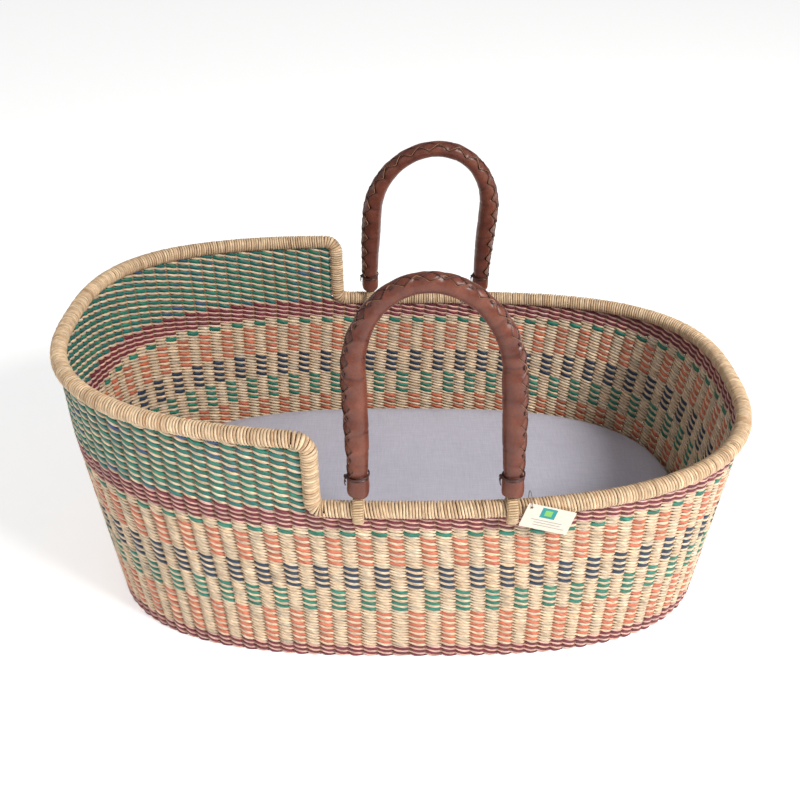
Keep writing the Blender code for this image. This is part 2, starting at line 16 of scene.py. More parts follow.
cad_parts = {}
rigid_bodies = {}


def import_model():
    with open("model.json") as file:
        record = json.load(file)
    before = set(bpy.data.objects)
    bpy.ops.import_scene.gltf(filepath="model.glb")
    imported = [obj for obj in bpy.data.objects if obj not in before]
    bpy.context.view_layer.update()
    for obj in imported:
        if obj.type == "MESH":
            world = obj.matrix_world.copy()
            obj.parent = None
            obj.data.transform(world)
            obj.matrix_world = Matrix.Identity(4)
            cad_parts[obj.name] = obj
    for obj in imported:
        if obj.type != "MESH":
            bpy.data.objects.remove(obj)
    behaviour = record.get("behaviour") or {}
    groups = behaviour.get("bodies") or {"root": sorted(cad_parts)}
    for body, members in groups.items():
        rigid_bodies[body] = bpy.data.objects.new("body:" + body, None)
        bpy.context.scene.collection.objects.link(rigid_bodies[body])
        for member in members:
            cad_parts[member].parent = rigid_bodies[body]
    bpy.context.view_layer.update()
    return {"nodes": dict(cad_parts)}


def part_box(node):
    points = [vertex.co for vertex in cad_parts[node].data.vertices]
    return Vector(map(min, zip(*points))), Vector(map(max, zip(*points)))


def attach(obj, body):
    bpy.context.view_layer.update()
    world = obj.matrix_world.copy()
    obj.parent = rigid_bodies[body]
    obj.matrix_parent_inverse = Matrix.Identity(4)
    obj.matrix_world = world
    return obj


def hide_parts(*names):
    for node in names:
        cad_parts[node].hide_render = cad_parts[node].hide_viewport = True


for thing in list(bpy.data.objects):
    bpy.data.objects.remove(thing, do_unlink=True)
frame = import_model()

# ---- driving sizes, as in the CAD
RIM_HALF_LENGTH = 0.420
RIM_HALF_WIDTH = 0.246
BASE_HALF_LENGTH = 0.389
BASE_HALF_WIDTH = 0.226
RIM_EXPONENT = 2.72
BASE_EXPONENT = 2.95
FOOT_RIM_HEIGHT = 0.248
HEAD_RIM_HEIGHT = 0.341
END_RISE = 0.012
HEAD_FLARE = 0.03
CENTRE_SHIFT = HEAD_FLARE * (HEAD_RIM_HEIGHT - FOOT_RIM_HEIGHT) / 2
RIM_RADIUS = 0.0098
STEP_X = -0.105
STEP_FOOT_BEND = 0.012
STEP_HEAD_BEND = 0.017
HINGE_Y = 0.2446
HINGE_Z = 0.2485
HANDLE_LEAN = math.radians(8)
LUG_X = (-0.0548, 0.1119)
LUG_RING_RADIUS = 0.0141  # middle of the ring round the rim
LUG_WIDTH = 0.011
LUG_THICKNESS = 0.005
STEM_RADIUS = 0.0054
COLLAR_BOTTOM = 0.0186
COLLAR_TOP = 0.0408
ARCH_RISE = 0.100
SLEEVE_START = 0.0438

# ---- the weave
COLUMNS = 128  # stakes round the wall
COLUMN_POINTS = 6  # points of a strand from stake to stake
STRAND_SIDES = 5
STRAND_DEPTH = 0.0019  # how far a strand swings out and in
STRAND_HALF_THICKNESS = 0.00115
DYED_FILL = 0.74  # half height of a dyed strand, in rows
PARTNER_FILL = 0.54  # of the undyed one twined with it
PLAIN_FILL = 0.58  # and of both in an undyed row
STAKE_LEAN = 0.5  # columns a stake leans from foot to top
UPRIGHT_FROM = 0.235  # height from which they stand upright
STRAND_NECK = 0.38  # its height where it crosses the wall, of its fullest
STRAND_DROP = 0.46  # how far a strand falls along a stitch, in rows
STEEP_DROP = 0.52  # and where the stitches run on as diagonals
DASH_DROP = 0.26  # and in the row of long dashes
STRAND_TWIST = 130  # radians its fibres turn in a metre
STRAND_WOBBLE = 0.00022  # how unevenly a strand rises and falls
STRAND_SWAY = 0.00018  # and swings out and in
LOWEST = 0.0004  # nothing woven comes nearer the ground


def srgb(red, green, blue):
    """Linear colour from 0 to 255 screen values."""
    values = np.array([red, green, blue]) / 255
    return np.where(values <= 0.04045, values / 12.92, ((values + 0.055) / 1.055) ** 2.4)


NATURAL = srgb(224, 199, 168)
# the stakes' colour: darker than the strands, partly painted shade for the gaps between rows where
# the stakes show
STAKE_AND_GAP_SHADE = srgb(150, 112, 78)
PINK_NATURAL = srgb(224, 178, 162)
ORANGE = srgb(210, 116, 86)
GREEN = srgb(34, 122, 102)
TEAL = srgb(28, 110, 102)
BLUE = srgb(52, 78, 128)
NAVY = srgb(26, 52, 76)
MAROON = srgb(114, 34, 48)
STRAW = srgb(228, 200, 164)
STRAW_DEEP = srgb(184, 142, 102)
BINDING = srgb(214, 186, 148)


# ---- materials
class Shader:
    """A Principled material with short ways to add nodes to it."""

    def __init__(self, name, roughness, **sockets):
        self.material = bpy.data.materials.new(name)
        self.material.use_nodes = True
        self.tree = self.material.node_tree
        self.surface = self.tree.nodes["Principled BSDF"]
        self.surface.inputs["Roughness"].default_value = roughness
        for socket, value in sockets.items():
            self.surface.inputs[socket.replace("_", " ")].default_value = value

    def node(self, kind, inputs=None, **settings):
        made = self.tree.nodes.new(kind)
        for key, value in settings.items():
            setattr(made, key, value)
        for key, value in (inputs or {}).items():
            socket = made.inputs[key]
            if isinstance(value, bpy.types.NodeSocket):
                self.tree.links.new(value, socket)
            else:
                socket.default_value = value
        return made

    def attribute(self, name):
        return self.node("ShaderNodeAttribute", attribute_name=name)

    def place(self):
        return self.node("ShaderNodeTexCoord").outputs["Object"]

    def scaled(self, vector, scale):
        return self.node("ShaderNodeMapping", {"Vector": vector, "Scale": scale}).outputs[0]

    def noise(self, vector, scale, detail=3.0, roughness=0.5):
        return self.node("ShaderNodeTexNoise", {
            "Vector": vector, "Scale": scale, "Detail": detail, "Roughness": roughness,
        }).outputs["Fac"]

    def ramp(self, value, low, high, to_low=0.0, to_high=1.0):
        return self.node("ShaderNodeMapRange", {
            "Value": value, "From Min": low, "From Max": high,
            "To Min": to_low, "To Max": to_high,
        }).outputs["Result"]

    def math(self, operation, a, b):
        return self.node("ShaderNodeMath", {0: a, 1: b}, operation=operation).outputs[0]

    def mix(self, share, a, b, blend="MIX"):
        a, b = (c if isinstance(c, bpy.types.NodeSocket) else (*c, 1.0) for c in (a, b))
        return self.node("ShaderNodeMix", {0: share, 6: a, 7: b},
                         data_type="RGBA", blend_type=blend).outputs[2]

    def shade(self, colour, amount):
        """A colour made lighter or darker by this amount."""
        grey = self.node("ShaderNodeCombineColor", {0: amount, 1: amount, 2: amount})
        return self.mix(1.0, colour, grey.outputs[0], "MULTIPLY")

    def colour(self, socket):
        self.tree.links.new(socket, self.surface.inputs["Base Color"])

    def roughness(self, socket):
        self.tree.links.new(socket, self.surface.inputs["Roughness"])

    def bump(self, height, distance, strength=1.0):
        made = self.node("ShaderNodeBump", {
            "Height": height, "Distance": distance, "Strength": strength})
        self.tree.links.new(made.outputs[0], self.surface.inputs["Normal"])


def grass_finish(name, roughness=0.5, streak=0.48):
    """Dyed or natural grass: fibres run along each strand, with dull and
    bright streaks and a few dark flecks."""
    shader = Shader(name, roughness)
    dye = shader.attribute("dye").outputs["Color"]
    fibre = shader.attribute("fibre").outputs["Vector"]
    streaks = shader.noise(shader.scaled(fibre, (70, 650, 650)), 1.0, 4.0, 0.65)
    broad = shader.noise(shader.scaled(fibre, (150, 300, 300)), 1.0, 2.0)
    tone = shader.ramp(streaks, 0.34, 0.66, 1.0 - streak, 1.0 + 0.45 * streak)
    tone = shader.math("MULTIPLY", tone, shader.ramp(broad, 0.3, 0.7, 0.82, 1.13))
    shader.colour(shader.shade(dye, tone))
    shader.roughness(shader.ramp(streaks, 0.3, 0.7, roughness + 0.15, roughness - 0.1))
    shader.bump(streaks, 0.0006, 0.8)
    return shader.material


def leather_finish(name, base, worn, dark):
    """Reddish-brown leather: mottled and fine grained, with shade painted dark into its creases,
    its seam and its edges.
    """
    shader = Shader(name, 0.42, Specular_IOR_Level=0.45)
    place = shader.place()
    mottle = shader.noise(place, 38.0, 4.0, 0.6)
    fine = shader.noise(place, 420.0, 3.0, 0.6)
    grain = shader.node("ShaderNodeTexVoronoi", {"Vector": place, "Scale": 900.0}).outputs[0]
    tone = shader.mix(shader.ramp(mottle, 0.35, 0.7), base, worn)
    tone = shader.shade(tone, shader.ramp(fine, 0.3, 0.7, 0.86, 1.1))
    # painted shade: this attribute mixes the dark colour into creases, the seam's underlap and
    # edges
    fold = shader.attribute("fold").outputs["Fac"]
    shader.colour(shader.mix(fold, tone, dark))
    shader.roughness(shader.ramp(mottle, 0.3, 0.7, 0.32, 0.46))
    height = shader.math("ADD", shader.math("MULTIPLY", grain, 0.5), fine)
    shader.bump(height, 0.00025, 0.55)
    return shader.material


def sheet_finish():
    """Lilac-grey cotton in a fine plain weave with faint slubs."""
    shader = Shader("sheet_cotton", 0.85, Sheen_Weight=0.15, Sheen_Roughness=0.5)
    place = shader.place()
    warp = shader.noise(shader.scaled(place, (1500, 60, 60)), 1.0, 2.0)
    weft = shader.noise(shader.scaled(place, (60, 1500, 60)), 1.0, 2.0)
    threads = shader.math("ADD", warp, weft)
    cloud = shader.noise(place, 9.0, 3.0)
    tone = shader.mix(shader.ramp(threads, 0.75, 1.25), srgb(178, 177, 192), srgb(194, 193, 207))
    shader.colour(shader.shade(tone, shader.ramp(cloud, 0.3, 0.7, 0.94, 1.04)))
    shader.bump(threads, 0.0002, 0.5)
    return shader.material


def plain_finish(name, colour, roughness, scale, contrast=0.12, depth=0.0002):
    """A matt finish with a fine mottled tone and relief."""
    shader = Shader(name, roughness)
    fine = shader.noise(shader.place(), scale, 4.0, 0.6)
    tone = shader.ramp(fine, 0.3, 0.7, 1 - contrast, 1 + contrast / 2)
    shader.colour(shader.shade(colour, tone))
    shader.bump(fine, depth, 0.5)
    return shader.material


# ---- tubes and pieces
def side_angles(sides, offset=0.0):
    """Angles of a tube's sides, the first one offset by this many sides."""
    return 2 * math.pi * (np.arange(sides) + offset) / sides


def unit(vectors):
    return vectors / np.linalg.norm(vectors, axis=1)[:, None]


def distances(points):
    """How far along their path these points lie."""
    return np.concatenate([[0], np.cumsum(np.linalg.norm(np.diff(points, axis=0), axis=1))])


def superellipse(angle, half_x, half_y, power):
    """(x, y) of a squarish oval at these angles."""
    c, s = np.cos(angle), np.sin(angle)
    return (half_x * np.sign(c) * np.abs(c) ** power,
            half_y * np.sign(s) * np.abs(s) ** power)


def spokes(turn, first, second):
    """Ways out at these angles, from the first way towards the second."""
    return np.cos(turn)[..., None] * first + np.sin(turn)[..., None] * second


def fibre_places(along, turn, across, outward=None):
    """A tube's points in its own fibre: along it, and across it both ways."""
    outward = across if outward is None else outward
    parts = (np.reshape(along, (-1, 1)), across * np.cos(turn), outward * np.sin(turn))
    shape = (len(along), np.shape(turn)[-1])
    return np.stack([np.broadcast_to(part, shape) for part in parts], axis=-1)


def tube_faces(steps, sides, closed=False, first=0):
    """A tube's quads, and the two faces that cap it unless it is closed."""
    index = first + np.arange(steps * sides).reshape(steps, sides)
    low, high = (index, np.roll(index, -1, axis=0)) if closed else (index[:-1], index[1:])
    quads = np.stack([low, np.roll(low, -1, axis=1), np.roll(high, -1, axis=1), high], axis=-1)
    caps = [] if closed else [index[0][::-1].tolist(), index[-1].tolist()]
    return quads.reshape(-1, 4).tolist(), caps


class Bag:
    """Gathers tubes into one mesh, each point with its dye and its place
    along and across its own fibre."""

    def __init__(self):
        self.points, self.faces, self.dye, self.fibre = [], [], [], []
        self.count = 0

    def tube(self, rings, dye, fibre, closed=False):
        """rings and fibre (n, sides, 3); dye (n, 3), or one for all."""
        steps, sides = rings.shape[:2]
        quads, caps = tube_faces(steps, sides, closed, self.count)
        self.faces += caps + quads
        self.points.append(rings.reshape(-1, 3))
        self.dye.append(np.repeat(np.broadcast_to(dye, (steps, 3)), sides, axis=0))
        self.fibre.append(fibre.reshape(-1, 3))
        self.count += steps * sides

    def piece(self, name, finish, body, slot, replaces=()):
        points = np.concatenate(self.points)
        made = add_piece(name, points, self.faces, finish, body, replaces)
        dye = np.concatenate(self.dye)
        store(made, "dye", "FLOAT_COLOR", "color", np.hstack([dye, np.ones((len(dye), 1))]))
        store(made, "fibre", "FLOAT_VECTOR", "vector", np.concatenate(self.fibre))


def store(piece, name, kind, field, values):
    layer = piece.data.attributes.new(name, kind, "POINT")
    layer.data.foreach_set(field, np.asarray(values, np.float32).ravel())


def new_object(name, data):
    made = bpy.data.objects.new(name, data)
    bpy.context.scene.collection.objects.link(made)
    return made


def mesh_object(name, points, faces):
    mesh = bpy.data.meshes.new(name)
    mesh.from_pydata([tuple(p) for p in np.asarray(points).tolist()], [], faces)
    return new_object(name, mesh)


def add_piece(name, points, faces, finish, body, replaces=()):
    made = mesh_object(name, points, faces)
    bm = bmesh.new()
    bm.from_mesh(made.data)
    bmesh.ops.recalc_face_normals(bm, faces=bm.faces)
    bm.to_mesh(made.data)
    bm.free()
    made.data.shade_smooth()
    made.data.materials.append(finish)
    return settle(made, body, replaces)


def settle(made, body, replaces=()):
    """Hangs a piece on its body, and hides the CAD parts it stands in for."""
    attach(made, body)
    if replaces:
        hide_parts(*replaces)
    return made


def smooth_noise(positions, spacing, seed):
    """Smooth random values near -1 to 1 at these positions, repeatable."""
    knots = np.random.default_rng(seed).uniform(-1, 1, 4096)
    place = np.asarray(positions) / spacing
    base = np.floor(place).astype(int)
    share = place - base
    share = share * share * (3 - 2 * share)
    return knots[base % 4096] * (1 - share) + knots[(base + 1) % 4096] * share


# ---- the basket's surface
def wall(angle, height, outward=0.0):
    """Points of the wall's middle surface, or this far outward of it."""
    angle, height, outward = np.broadcast_arrays(angle, height, outward)
    share = np.clip(height / FOOT_RIM_HEIGHT, None, 1.0)
    flare = HEAD_FLARE * np.maximum(height - FOOT_RIM_HEIGHT, 0.0) + outward
    half_length = BASE_HALF_LENGTH + (RIM_HALF_LENGTH - BASE_HALF_LENGTH) * share + flare
    half_width = BASE_HALF_WIDTH + (RIM_HALF_WIDTH - BASE_HALF_WIDTH) * share + flare
    power = 2 / (BASE_EXPONENT + (RIM_EXPONENT - BASE_EXPONENT) * share)
    x, y = superellipse(angle, half_length, half_width, power)
    rise = END_RISE * share * (x / RIM_HALF_LENGTH) ** 2
    return np.stack([x + CENTRE_SHIFT, y, height + rise], axis=-1)


TABLE_ANGLES = np.linspace(0, 2 * math.pi, 8193)
TABLE_LENGTHS = distances(wall(TABLE_ANGLES, FOOT_RIM_HEIGHT))
PERIMETER = TABLE_LENGTHS[-1]


def angle_at(length):
    turns, rest = np.divmod(length, PERIMETER)
    return 2 * math.pi * turns + np.interp(rest, TABLE_LENGTHS, TABLE_ANGLES)


def on_wall(length, height, outward=0.0):
    return wall(angle_at(length), height, outward)


def length_at_x(x):
    """Length along the rim, on its +Y side, to the point at this x."""
    half = TABLE_ANGLES <= math.pi
    xs = wall(TABLE_ANGLES[half], FOOT_RIM_HEIGHT)[:, 0]
    return float(np.interp(-x, -xs, TABLE_LENGTHS[half]))


STEP_LENGTH = length_at_x(STEP_X)
COLUMN_LENGTH = PERIMETER / COLUMNS


# ---- woven walls
def along_strand(values, count):
    """A value for each point of a strand, blended from one per stitch."""
    return np.interp(np.arange(count) / COLUMN_POINTS, np.arange(len(values)), values)[:, None]


def mottled(dye, count, seed):
    """One dye per point: each stitch a little lighter, duller or darker."""
    local = np.random.default_rng(seed)
    stitches = count // COLUMN_POINTS + 2
    tone = along_strand(1 + local.normal(0, 0.10, stitches), count)
    warm = along_strand(local.normal(0, 0.04, stitches), count)
    return np.clip(dye * tone * (1 + warm * np.array([[1, 0, -1]])), 0, 1)


def blue_bits(colour, seed):
    """Turns a few stitches of a teal strand blue."""
    local = np.random.default_rng(seed)
    stitches = len(colour) // COLUMN_POINTS + 2
    blue = (local.uniform(size=stitches) < 0.12) * local.uniform(0.4, 1.0, stitches)
    share = along_strand(blue, len(colour))
    return colour * (1 - share) + BLUE * share


def stake_lean(height):
    """How many columns the stakes have leant over by this height."""
    return STAKE_LEAN * np.clip(1 - (height / UPRIGHT_FROM) ** 2, 0, 1)


def twine(bag, height, row_height, dyes, shift, seed, start=None, stop=None,
          drop=STRAND_DROP):
    """One twined row: two strands that turn about each other, each outside for
    one column and inside for the next.  start and stop are lengths along the
    rim, and without them the row is a closed ring."""
    closed = start is None
    if closed:
        place = np.arange(COLUMNS * COLUMN_POINTS) / COLUMN_POINTS
        length = place * COLUMN_LENGTH
    else:
        steps = np.arange(math.floor(start / COLUMN_LENGTH * COLUMN_POINTS),
                          math.ceil(stop / COLUMN_LENGTH * COLUMN_POINTS) + 1)
        length = np.clip(steps / COLUMN_POINTS * COLUMN_LENGTH, start, stop)
        place = length / COLUMN_LENGTH
    local = np.random.default_rng(seed)
    turns = side_angles(STRAND_SIDES, 0.5) - math.pi / 2
    for k, dye in enumerate(dyes):
        turn = math.pi * (place - stake_lean(height) + shift + k)
        c, s = np.cos(turn), np.sin(turn)
        out = STRAND_DEPTH * np.sign(c) * np.abs(c) ** 0.6
        body = STRAND_NECK + (1 - STRAND_NECK) * np.abs(c) ** 0.9
        fill = DYED_FILL
        if dye is NATURAL or dye is PINK_NATURAL:
            fill = PLAIN_FILL if dyes[0] is dyes[1] else PARTNER_FILL
        half_height = row_height * fill * body
        wobble = smooth_noise(length, 0.011, seed * 7 + k) * STRAND_WOBBLE
        up = -drop * row_height * np.arcsin(s) / (math.pi / 2) + wobble
        out = out + smooth_noise(length, 0.017, seed * 7 + k + 3) * STRAND_SWAY
        ring_out = out[:, None] + STRAND_HALF_THICKNESS * np.cos(turns)
        ring_up = height + up[:, None] + half_height[:, None] * np.sin(turns)
        rings = on_wall(length[:, None], np.maximum(ring_up, LOWEST), ring_out)
        roll = turns + length[:, None] * STRAND_TWIST
        fibre = fibre_places(length + local.uniform(0, 9), roll, 0.0015, 0.0022)
        colour = mottled(dye, len(length), seed * 5 + k)
        if dye is TEAL:
            colour = blue_bits(colour, seed * 5 + k)
        bag.tube(rings, colour, fibre, closed)


BANDS = {  # slot, dye, rows, columns its stitches shift
    "weave_base_edge": ("maroon_grass", MAROON, 5, 0),
    "weave_lower_orange": ("orange_grass", ORANGE, 12, 0),
    "weave_green": ("green_grass", GREEN, 8, 1),
    "weave_navy": ("navy_grass", NAVY, 8, 0),
    "weave_upper_orange": ("orange_grass", ORANGE, 10, 1),
    "weave_dash_row": ("natural_grass", GREEN, 3, 0),
    "weave_maroon": ("maroon_grass", MAROON, 6, 0),
}


def band_rows(name, dye, count, shift):
    """A band's rows from the bottom: the dyes of both strands, columns of
    shift, share of the height, drop."""
    plain = (NATURAL, NATURAL)
    if name == "weave_dash_row":
        edge = (plain, shift, 0.92, STRAND_DROP)
        return [edge, ((dye, NATURAL), shift, 1.16, DASH_DROP), edge]
    if dye is MAROON:
        return [((dye, PINK_NATURAL), r % 2, 1.0, STEEP_DROP) for r in range(count)]
    return [((dye, NATURAL) if r % 2 else plain, shift, 1.0, STRAND_DROP)
            for r in range(count)]


def build_bands():
    lows = [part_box(name)[0].z for name in (*BANDS, "weave_head_panel")]
    seed = 100
    for (name, band), low, high in zip(BANDS.items(), lows, lows[1:]):
        bag = Bag()
        rows = band_rows(name, *band[1:])
        share_height = (high - low) / sum(share for _, _, share, _ in rows)
        height = low
        for dyes, shift, share, drop in rows:
            row_height = share_height * share
            twine(bag, height + row_height / 2, row_height, dyes, shift, seed, drop=drop)
            height += row_height
            seed += 1
        bag.piece(name.replace("weave_", "") + "_twining", grass_finish(name + "_grass"),
                  "basket", band[0], [name])


def bend_reach(past, radius):
    """How far a bend of this radius has moved this far past its start."""
    share = min(max(past / radius, 0.0), 1.0)
    return radius * (1 - math.sqrt(1 - share ** 2))


def panel_reach(height):
    """Length along the rim where the head panel's row meets the rim."""
    below = bend_reach(FOOT_RIM_HEIGHT + STEP_FOOT_BEND - height, STEP_FOOT_BEND)
    above = bend_reach(height - (HEAD_RIM_HEIGHT - STEP_HEAD_BEND), STEP_HEAD_BEND)
    return STEP_LENGTH - below + above


PANEL_ROW = 0.0049
PANEL_MAROON_ROWS = 1
STAKE_FOOT = 0.002
STAKE_HALF_WIDTH = 0.0030
STAKE_HALF_DEPTH = 0.0007
STEP_STAKE_GAP = 0.012  # stakes this near a step stay low
FLOOR_RINGS = 30
FLOOR_COLUMNS = 64
FLOOR_COLUMN_POINTS = 5
FLOOR_EDGE_GAP = 0.006


def build_head_panel():
    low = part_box("weave_head_panel")[0].z
    bag = Bag()
    row, height = 0, low + PANEL_ROW / 2
    local = np.random.default_rng(5)
    while height < HEAD_RIM_HEIGHT - RIM_RADIUS * 0.4:
        reach = panel_reach(height) + 0.002
        if row < PANEL_MAROON_ROWS:
            dyes = (MAROON, PINK_NATURAL)
        else:
            dyes = (GREEN if local.uniform() < 0.4 else TEAL, NATURAL)
        twine(bag, height, PANEL_ROW, dyes, row % 2, 400 + row, reach,
              PERIMETER - reach, drop=STEEP_DROP)
        height += PANEL_ROW
        row += 1
    bag.piece("head_panel_twining", grass_finish("weave_head_panel_grass"), "basket",
              "teal_grass", ["weave_head_panel"])


def build_stakes():
    """Upright stakes in the wall, where its strands cross and pass through
    them.  Real ones would stand half a column on, behind each stitch."""
    bag = Bag()
    turns = side_angles(6)
    low_end = STEP_LENGTH + STEP_STAKE_GAP
    for k in range(COLUMNS):
        length = (k + 0.5) * COLUMN_LENGTH
        at_head = low_end < length < PERIMETER - low_end
        heights = np.linspace(STAKE_FOOT, HEAD_RIM_HEIGHT if at_head else FOOT_RIM_HEIGHT, 8)
        span = length + stake_lean(heights)[:, None] * COLUMN_LENGTH
        span = span + STAKE_HALF_WIDTH * np.cos(turns)
        rings = on_wall(span, heights[:, None], STAKE_HALF_DEPTH * np.sin(turns)[None, :])
        # the stakes' darker colour is partly painted shade, seen in the gaps between rows
        bag.tube(rings, STAKE_AND_GAP_SHADE, fibre_places(heights + k, turns, 0.002))
    bag.piece("stakes", grass_finish("stake_grass"), "basket", "core_grass")


def build_floor():
    """The floor's rings of twining, close to the wall's edge and inwards."""
    bag = Bag()
    low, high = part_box("woven_floor")
    middle = (low.z + high.z) / 2
    turns = side_angles(5, 0.5)
    steps = np.arange(FLOOR_COLUMNS * FLOOR_COLUMN_POINTS)
    place = steps / FLOOR_COLUMN_POINTS
    lengths = place / FLOOR_COLUMNS * PERIMETER
    half_length, half_width = BASE_HALF_LENGTH - FLOOR_EDGE_GAP, BASE_HALF_WIDTH - FLOOR_EDGE_GAP
    pitch = half_width / FLOOR_RINGS
    cx, cy = superellipse(angle_at(lengths), 1, 1, 2 / BASE_EXPONENT)
    for r in range(FLOOR_RINGS):
        for k in (0, 1):
            turn = math.pi * (place + r + k)
            rise = 0.0018 * np.cos(turn)
            slide = -0.25 * pitch * np.sin(turn)
            across = -pitch * (r + 0.5) + slide[:, None] + pitch * 0.55 * np.cos(turns)
            x = (half_length + across) * cx[:, None] + CENTRE_SHIFT
            y = (half_width + across) * cy[:, None]
            z = np.broadcast_to(middle + rise[:, None] + 0.0012 * np.sin(turns), x.shape)
            dye = mottled(NATURAL, len(steps), 900 + 2 * r + k)
            bag.tube(np.stack([x, y, z], -1), dye, fibre_places(lengths + r, turns, 0.002), True)
    bag.piece("floor_twining", grass_finish("floor_grass"), "basket", "natural_grass",
              ["woven_floor"])


# ---- the rim
def arc(centre_s, centre_z, radius, start, stop, steps):
    """(length, height) points of a bend, between these angles in degrees."""
    a = np.radians(np.linspace(start, stop, steps + 1))
    return np.stack([centre_s + radius * np.cos(a), centre_z + radius * np.sin(a)], -1)


def level(start, stop, height, steps):
    s = np.linspace(start, stop, steps + 1)
    return np.stack([s, np.full_like(s, height)], -1)


def rim_stretches():
    """The rim's centre line as (length, height), in four stretches."""
    foot, head = FOOT_RIM_HEIGHT, HEAD_RIM_HEIGHT
    near, far, step = STEP_FOOT_BEND, STEP_HEAD_BEND, STEP_LENGTH
    heights = foot + near + (head - far - foot - near) * np.linspace(0, 1, 11)
    post = np.stack([np.full(11, step), heights], -1)
    back = np.concatenate([arc(step - near, foot + near, near, -90, 0, 10)[:-1], post,
                           arc(step + far, head - far, far, 180, 90, 12)[1:]])
    front = back[::-1].copy()
    front[:, 0] = PERIMETER - front[:, 0]
    return {
        "rim_wrap_foot": level(near - step, step - near, foot, 400),
        "rim_wrap_back_step": back,
        "rim_wrap_head": level(step + far, PERIMETER - step - far, head, 260),
        "rim_wrap_front_step": front,
    }


WRAP_PITCH = 0.0035
WRAP_TURN_POINTS = 14
WRAP_SIDES = 6
WRAP_HALF_THICKNESS = 0.0013
WRAP_END_PLAY = 0.0006  # how far a wrap may pass its stretch's end


def build_rim_wrap(name, route, seed):
    """Straw wound side by side round the rim, each turn its own shade."""
    points = on_wall(route[:, 0], route[:, 1])
    travelled = distances(points)
    total = travelled[-1]
    along = unit(np.gradient(points, travelled, axis=0))
    outward = on_wall(route[:, 0], route[:, 1], 0.01) - points
    outward = unit(outward - along * np.sum(outward * along, axis=1)[:, None])
    upward = np.cross(along, outward)

    def at(values, place):
        return np.stack([np.interp(place, travelled, values[:, k]) for k in range(3)], -1)

    turns_count = int(total / WRAP_PITCH)
    pitch = total / turns_count
    theta = 2 * math.pi * np.arange(turns_count * WRAP_TURN_POINTS + 1) / WRAP_TURN_POINTS
    turn_number = theta / (2 * math.pi)

    def uneven(spacing, draw):
        return smooth_noise(turn_number, spacing, seed + draw)

    tilt = 0.0006 + uneven(9.0, 0) * 0.0010
    place = turn_number * pitch + tilt * np.sin(theta + uneven(15.0, 1))
    place = place + uneven(0.8, 2) * 0.00030
    width = pitch * (0.47 + 0.06 * uneven(1.0, 3))
    radius = RIM_RADIUS - 0.0012 + uneven(0.9, 4) * 0.00030 + uneven(16.0, 5) * 0.00025
    ring = side_angles(WRAP_SIDES, 0.5)
    spot = np.clip(place[:, None] + width[:, None] * np.cos(ring), -WRAP_END_PLAY,
                   total + WRAP_END_PLAY)
    reach = radius[:, None] + WRAP_HALF_THICKNESS * np.sin(ring)
    c, s = np.cos(theta)[:, None, None], np.sin(theta)[:, None, None]
    rings = at(points, spot) + reach[..., None] * (c * at(outward, spot) + s * at(upward, spot))
    local = np.random.default_rng(seed)
    share = local.beta(1.2, 3.4, turns_count + 2)
    tone = 1 + local.normal(0, 0.06, turns_count + 2)
    number = np.clip(np.floor(turn_number + 0.25).astype(int), 0, turns_count + 1)
    dye = STRAW * (1 - share[number, None]) + STRAW_DEEP * share[number, None]
    bag = Bag()
    bag.tube(rings, np.clip(dye * tone[number, None], 0, 1),
             fibre_places(theta * RIM_RADIUS, ring, 0.0012, 0.0008))
    bag.piece(name.replace("rim_wrap", "straw_turns"), grass_finish(name, 0.45, 0.3), "basket",
              "straw", [name])


def build_rim():
    for seed, (name, route) in enumerate(rim_stretches().items()):
        build_rim_wrap(name, route, 40 + 10 * seed)


# ---- handles
class Handle:
    """One handle's leaning plane and its arch."""

    def __init__(self, name, side, height, skew, seam_angle, seed):
        self.name, self.side, self.height, self.skew = name, side, height, skew
        self.seam_angle, self.seed = seam_angle, seed
        self.pivot = np.array([0.0, side * HINGE_Y, HINGE_Z])
        self.up = np.array([0.0, -side * math.sin(HANDLE_LEAN), math.cos(HANDLE_LEAN)])
        self.out = np.array([0.0, side * math.cos(HANDLE_LEAN), math.sin(HANDLE_LEAN)])

    def place(self, x, h, out=0.0):
        x, h, out = (np.asarray(v, float)[..., None] for v in (x, h, out))
        return self.pivot + x * np.array([1.0, 0, 0]) + h * self.up + out * self.out

    def centre_line(self, start, spacing):
        """Evenly spaced (x, h) of the arch's centre line."""
        middle = (LUG_X[0] + LUG_X[1]) / 2
        reach = (LUG_X[1] - LUG_X[0]) / 2
        spring = self.height - ARCH_RISE
        legs = np.linspace(start, spring, 60)
        a = np.linspace(math.pi, 0, 160)
        x = np.concatenate([np.full(59, -reach), reach * np.cos(a), np.full(59, reach)])
        h = np.concatenate([legs[:-1], spring + ARCH_RISE * np.sin(a), legs[::-1][1:]])
        share = np.maximum(h - SLEEVE_START, 0.0) / (self.height - SLEEVE_START)
        x = middle + x + self.skew * share ** 1.5
        travelled = distances(np.stack([x, h], -1))
        even = np.linspace(0, travelled[-1], int(travelled[-1] / spacing) + 1)
        return even, np.interp(even, travelled, x), np.interp(even, travelled, h)

    def frames(self, x, h):
        """Arch points, and the way off the arch's outer edge."""
        points = self.place(x, h)
        along = unit(np.gradient(points, axis=0))
        edge = self.side * np.cross(along, self.out)
        return points, edge


HANDLES = (
    Handle("front_handle", -1, 0.2605, -0.008, math.radians(52), 3),
    Handle("back_handle", 1, 0.2525, 0.014, math.radians(-46), 8),
)
SEAM_PERIOD = 0.025
SEAM_SWING = 0.38  # radians to either side
LACES_APART = 0.42  # radians between the two lacings
LACE_RADIUS = 0.00065
CREASE_SPACING = 0.0125
CREASE_DEPTH = 0.0010
CREASE_WIDTH = 0.0016


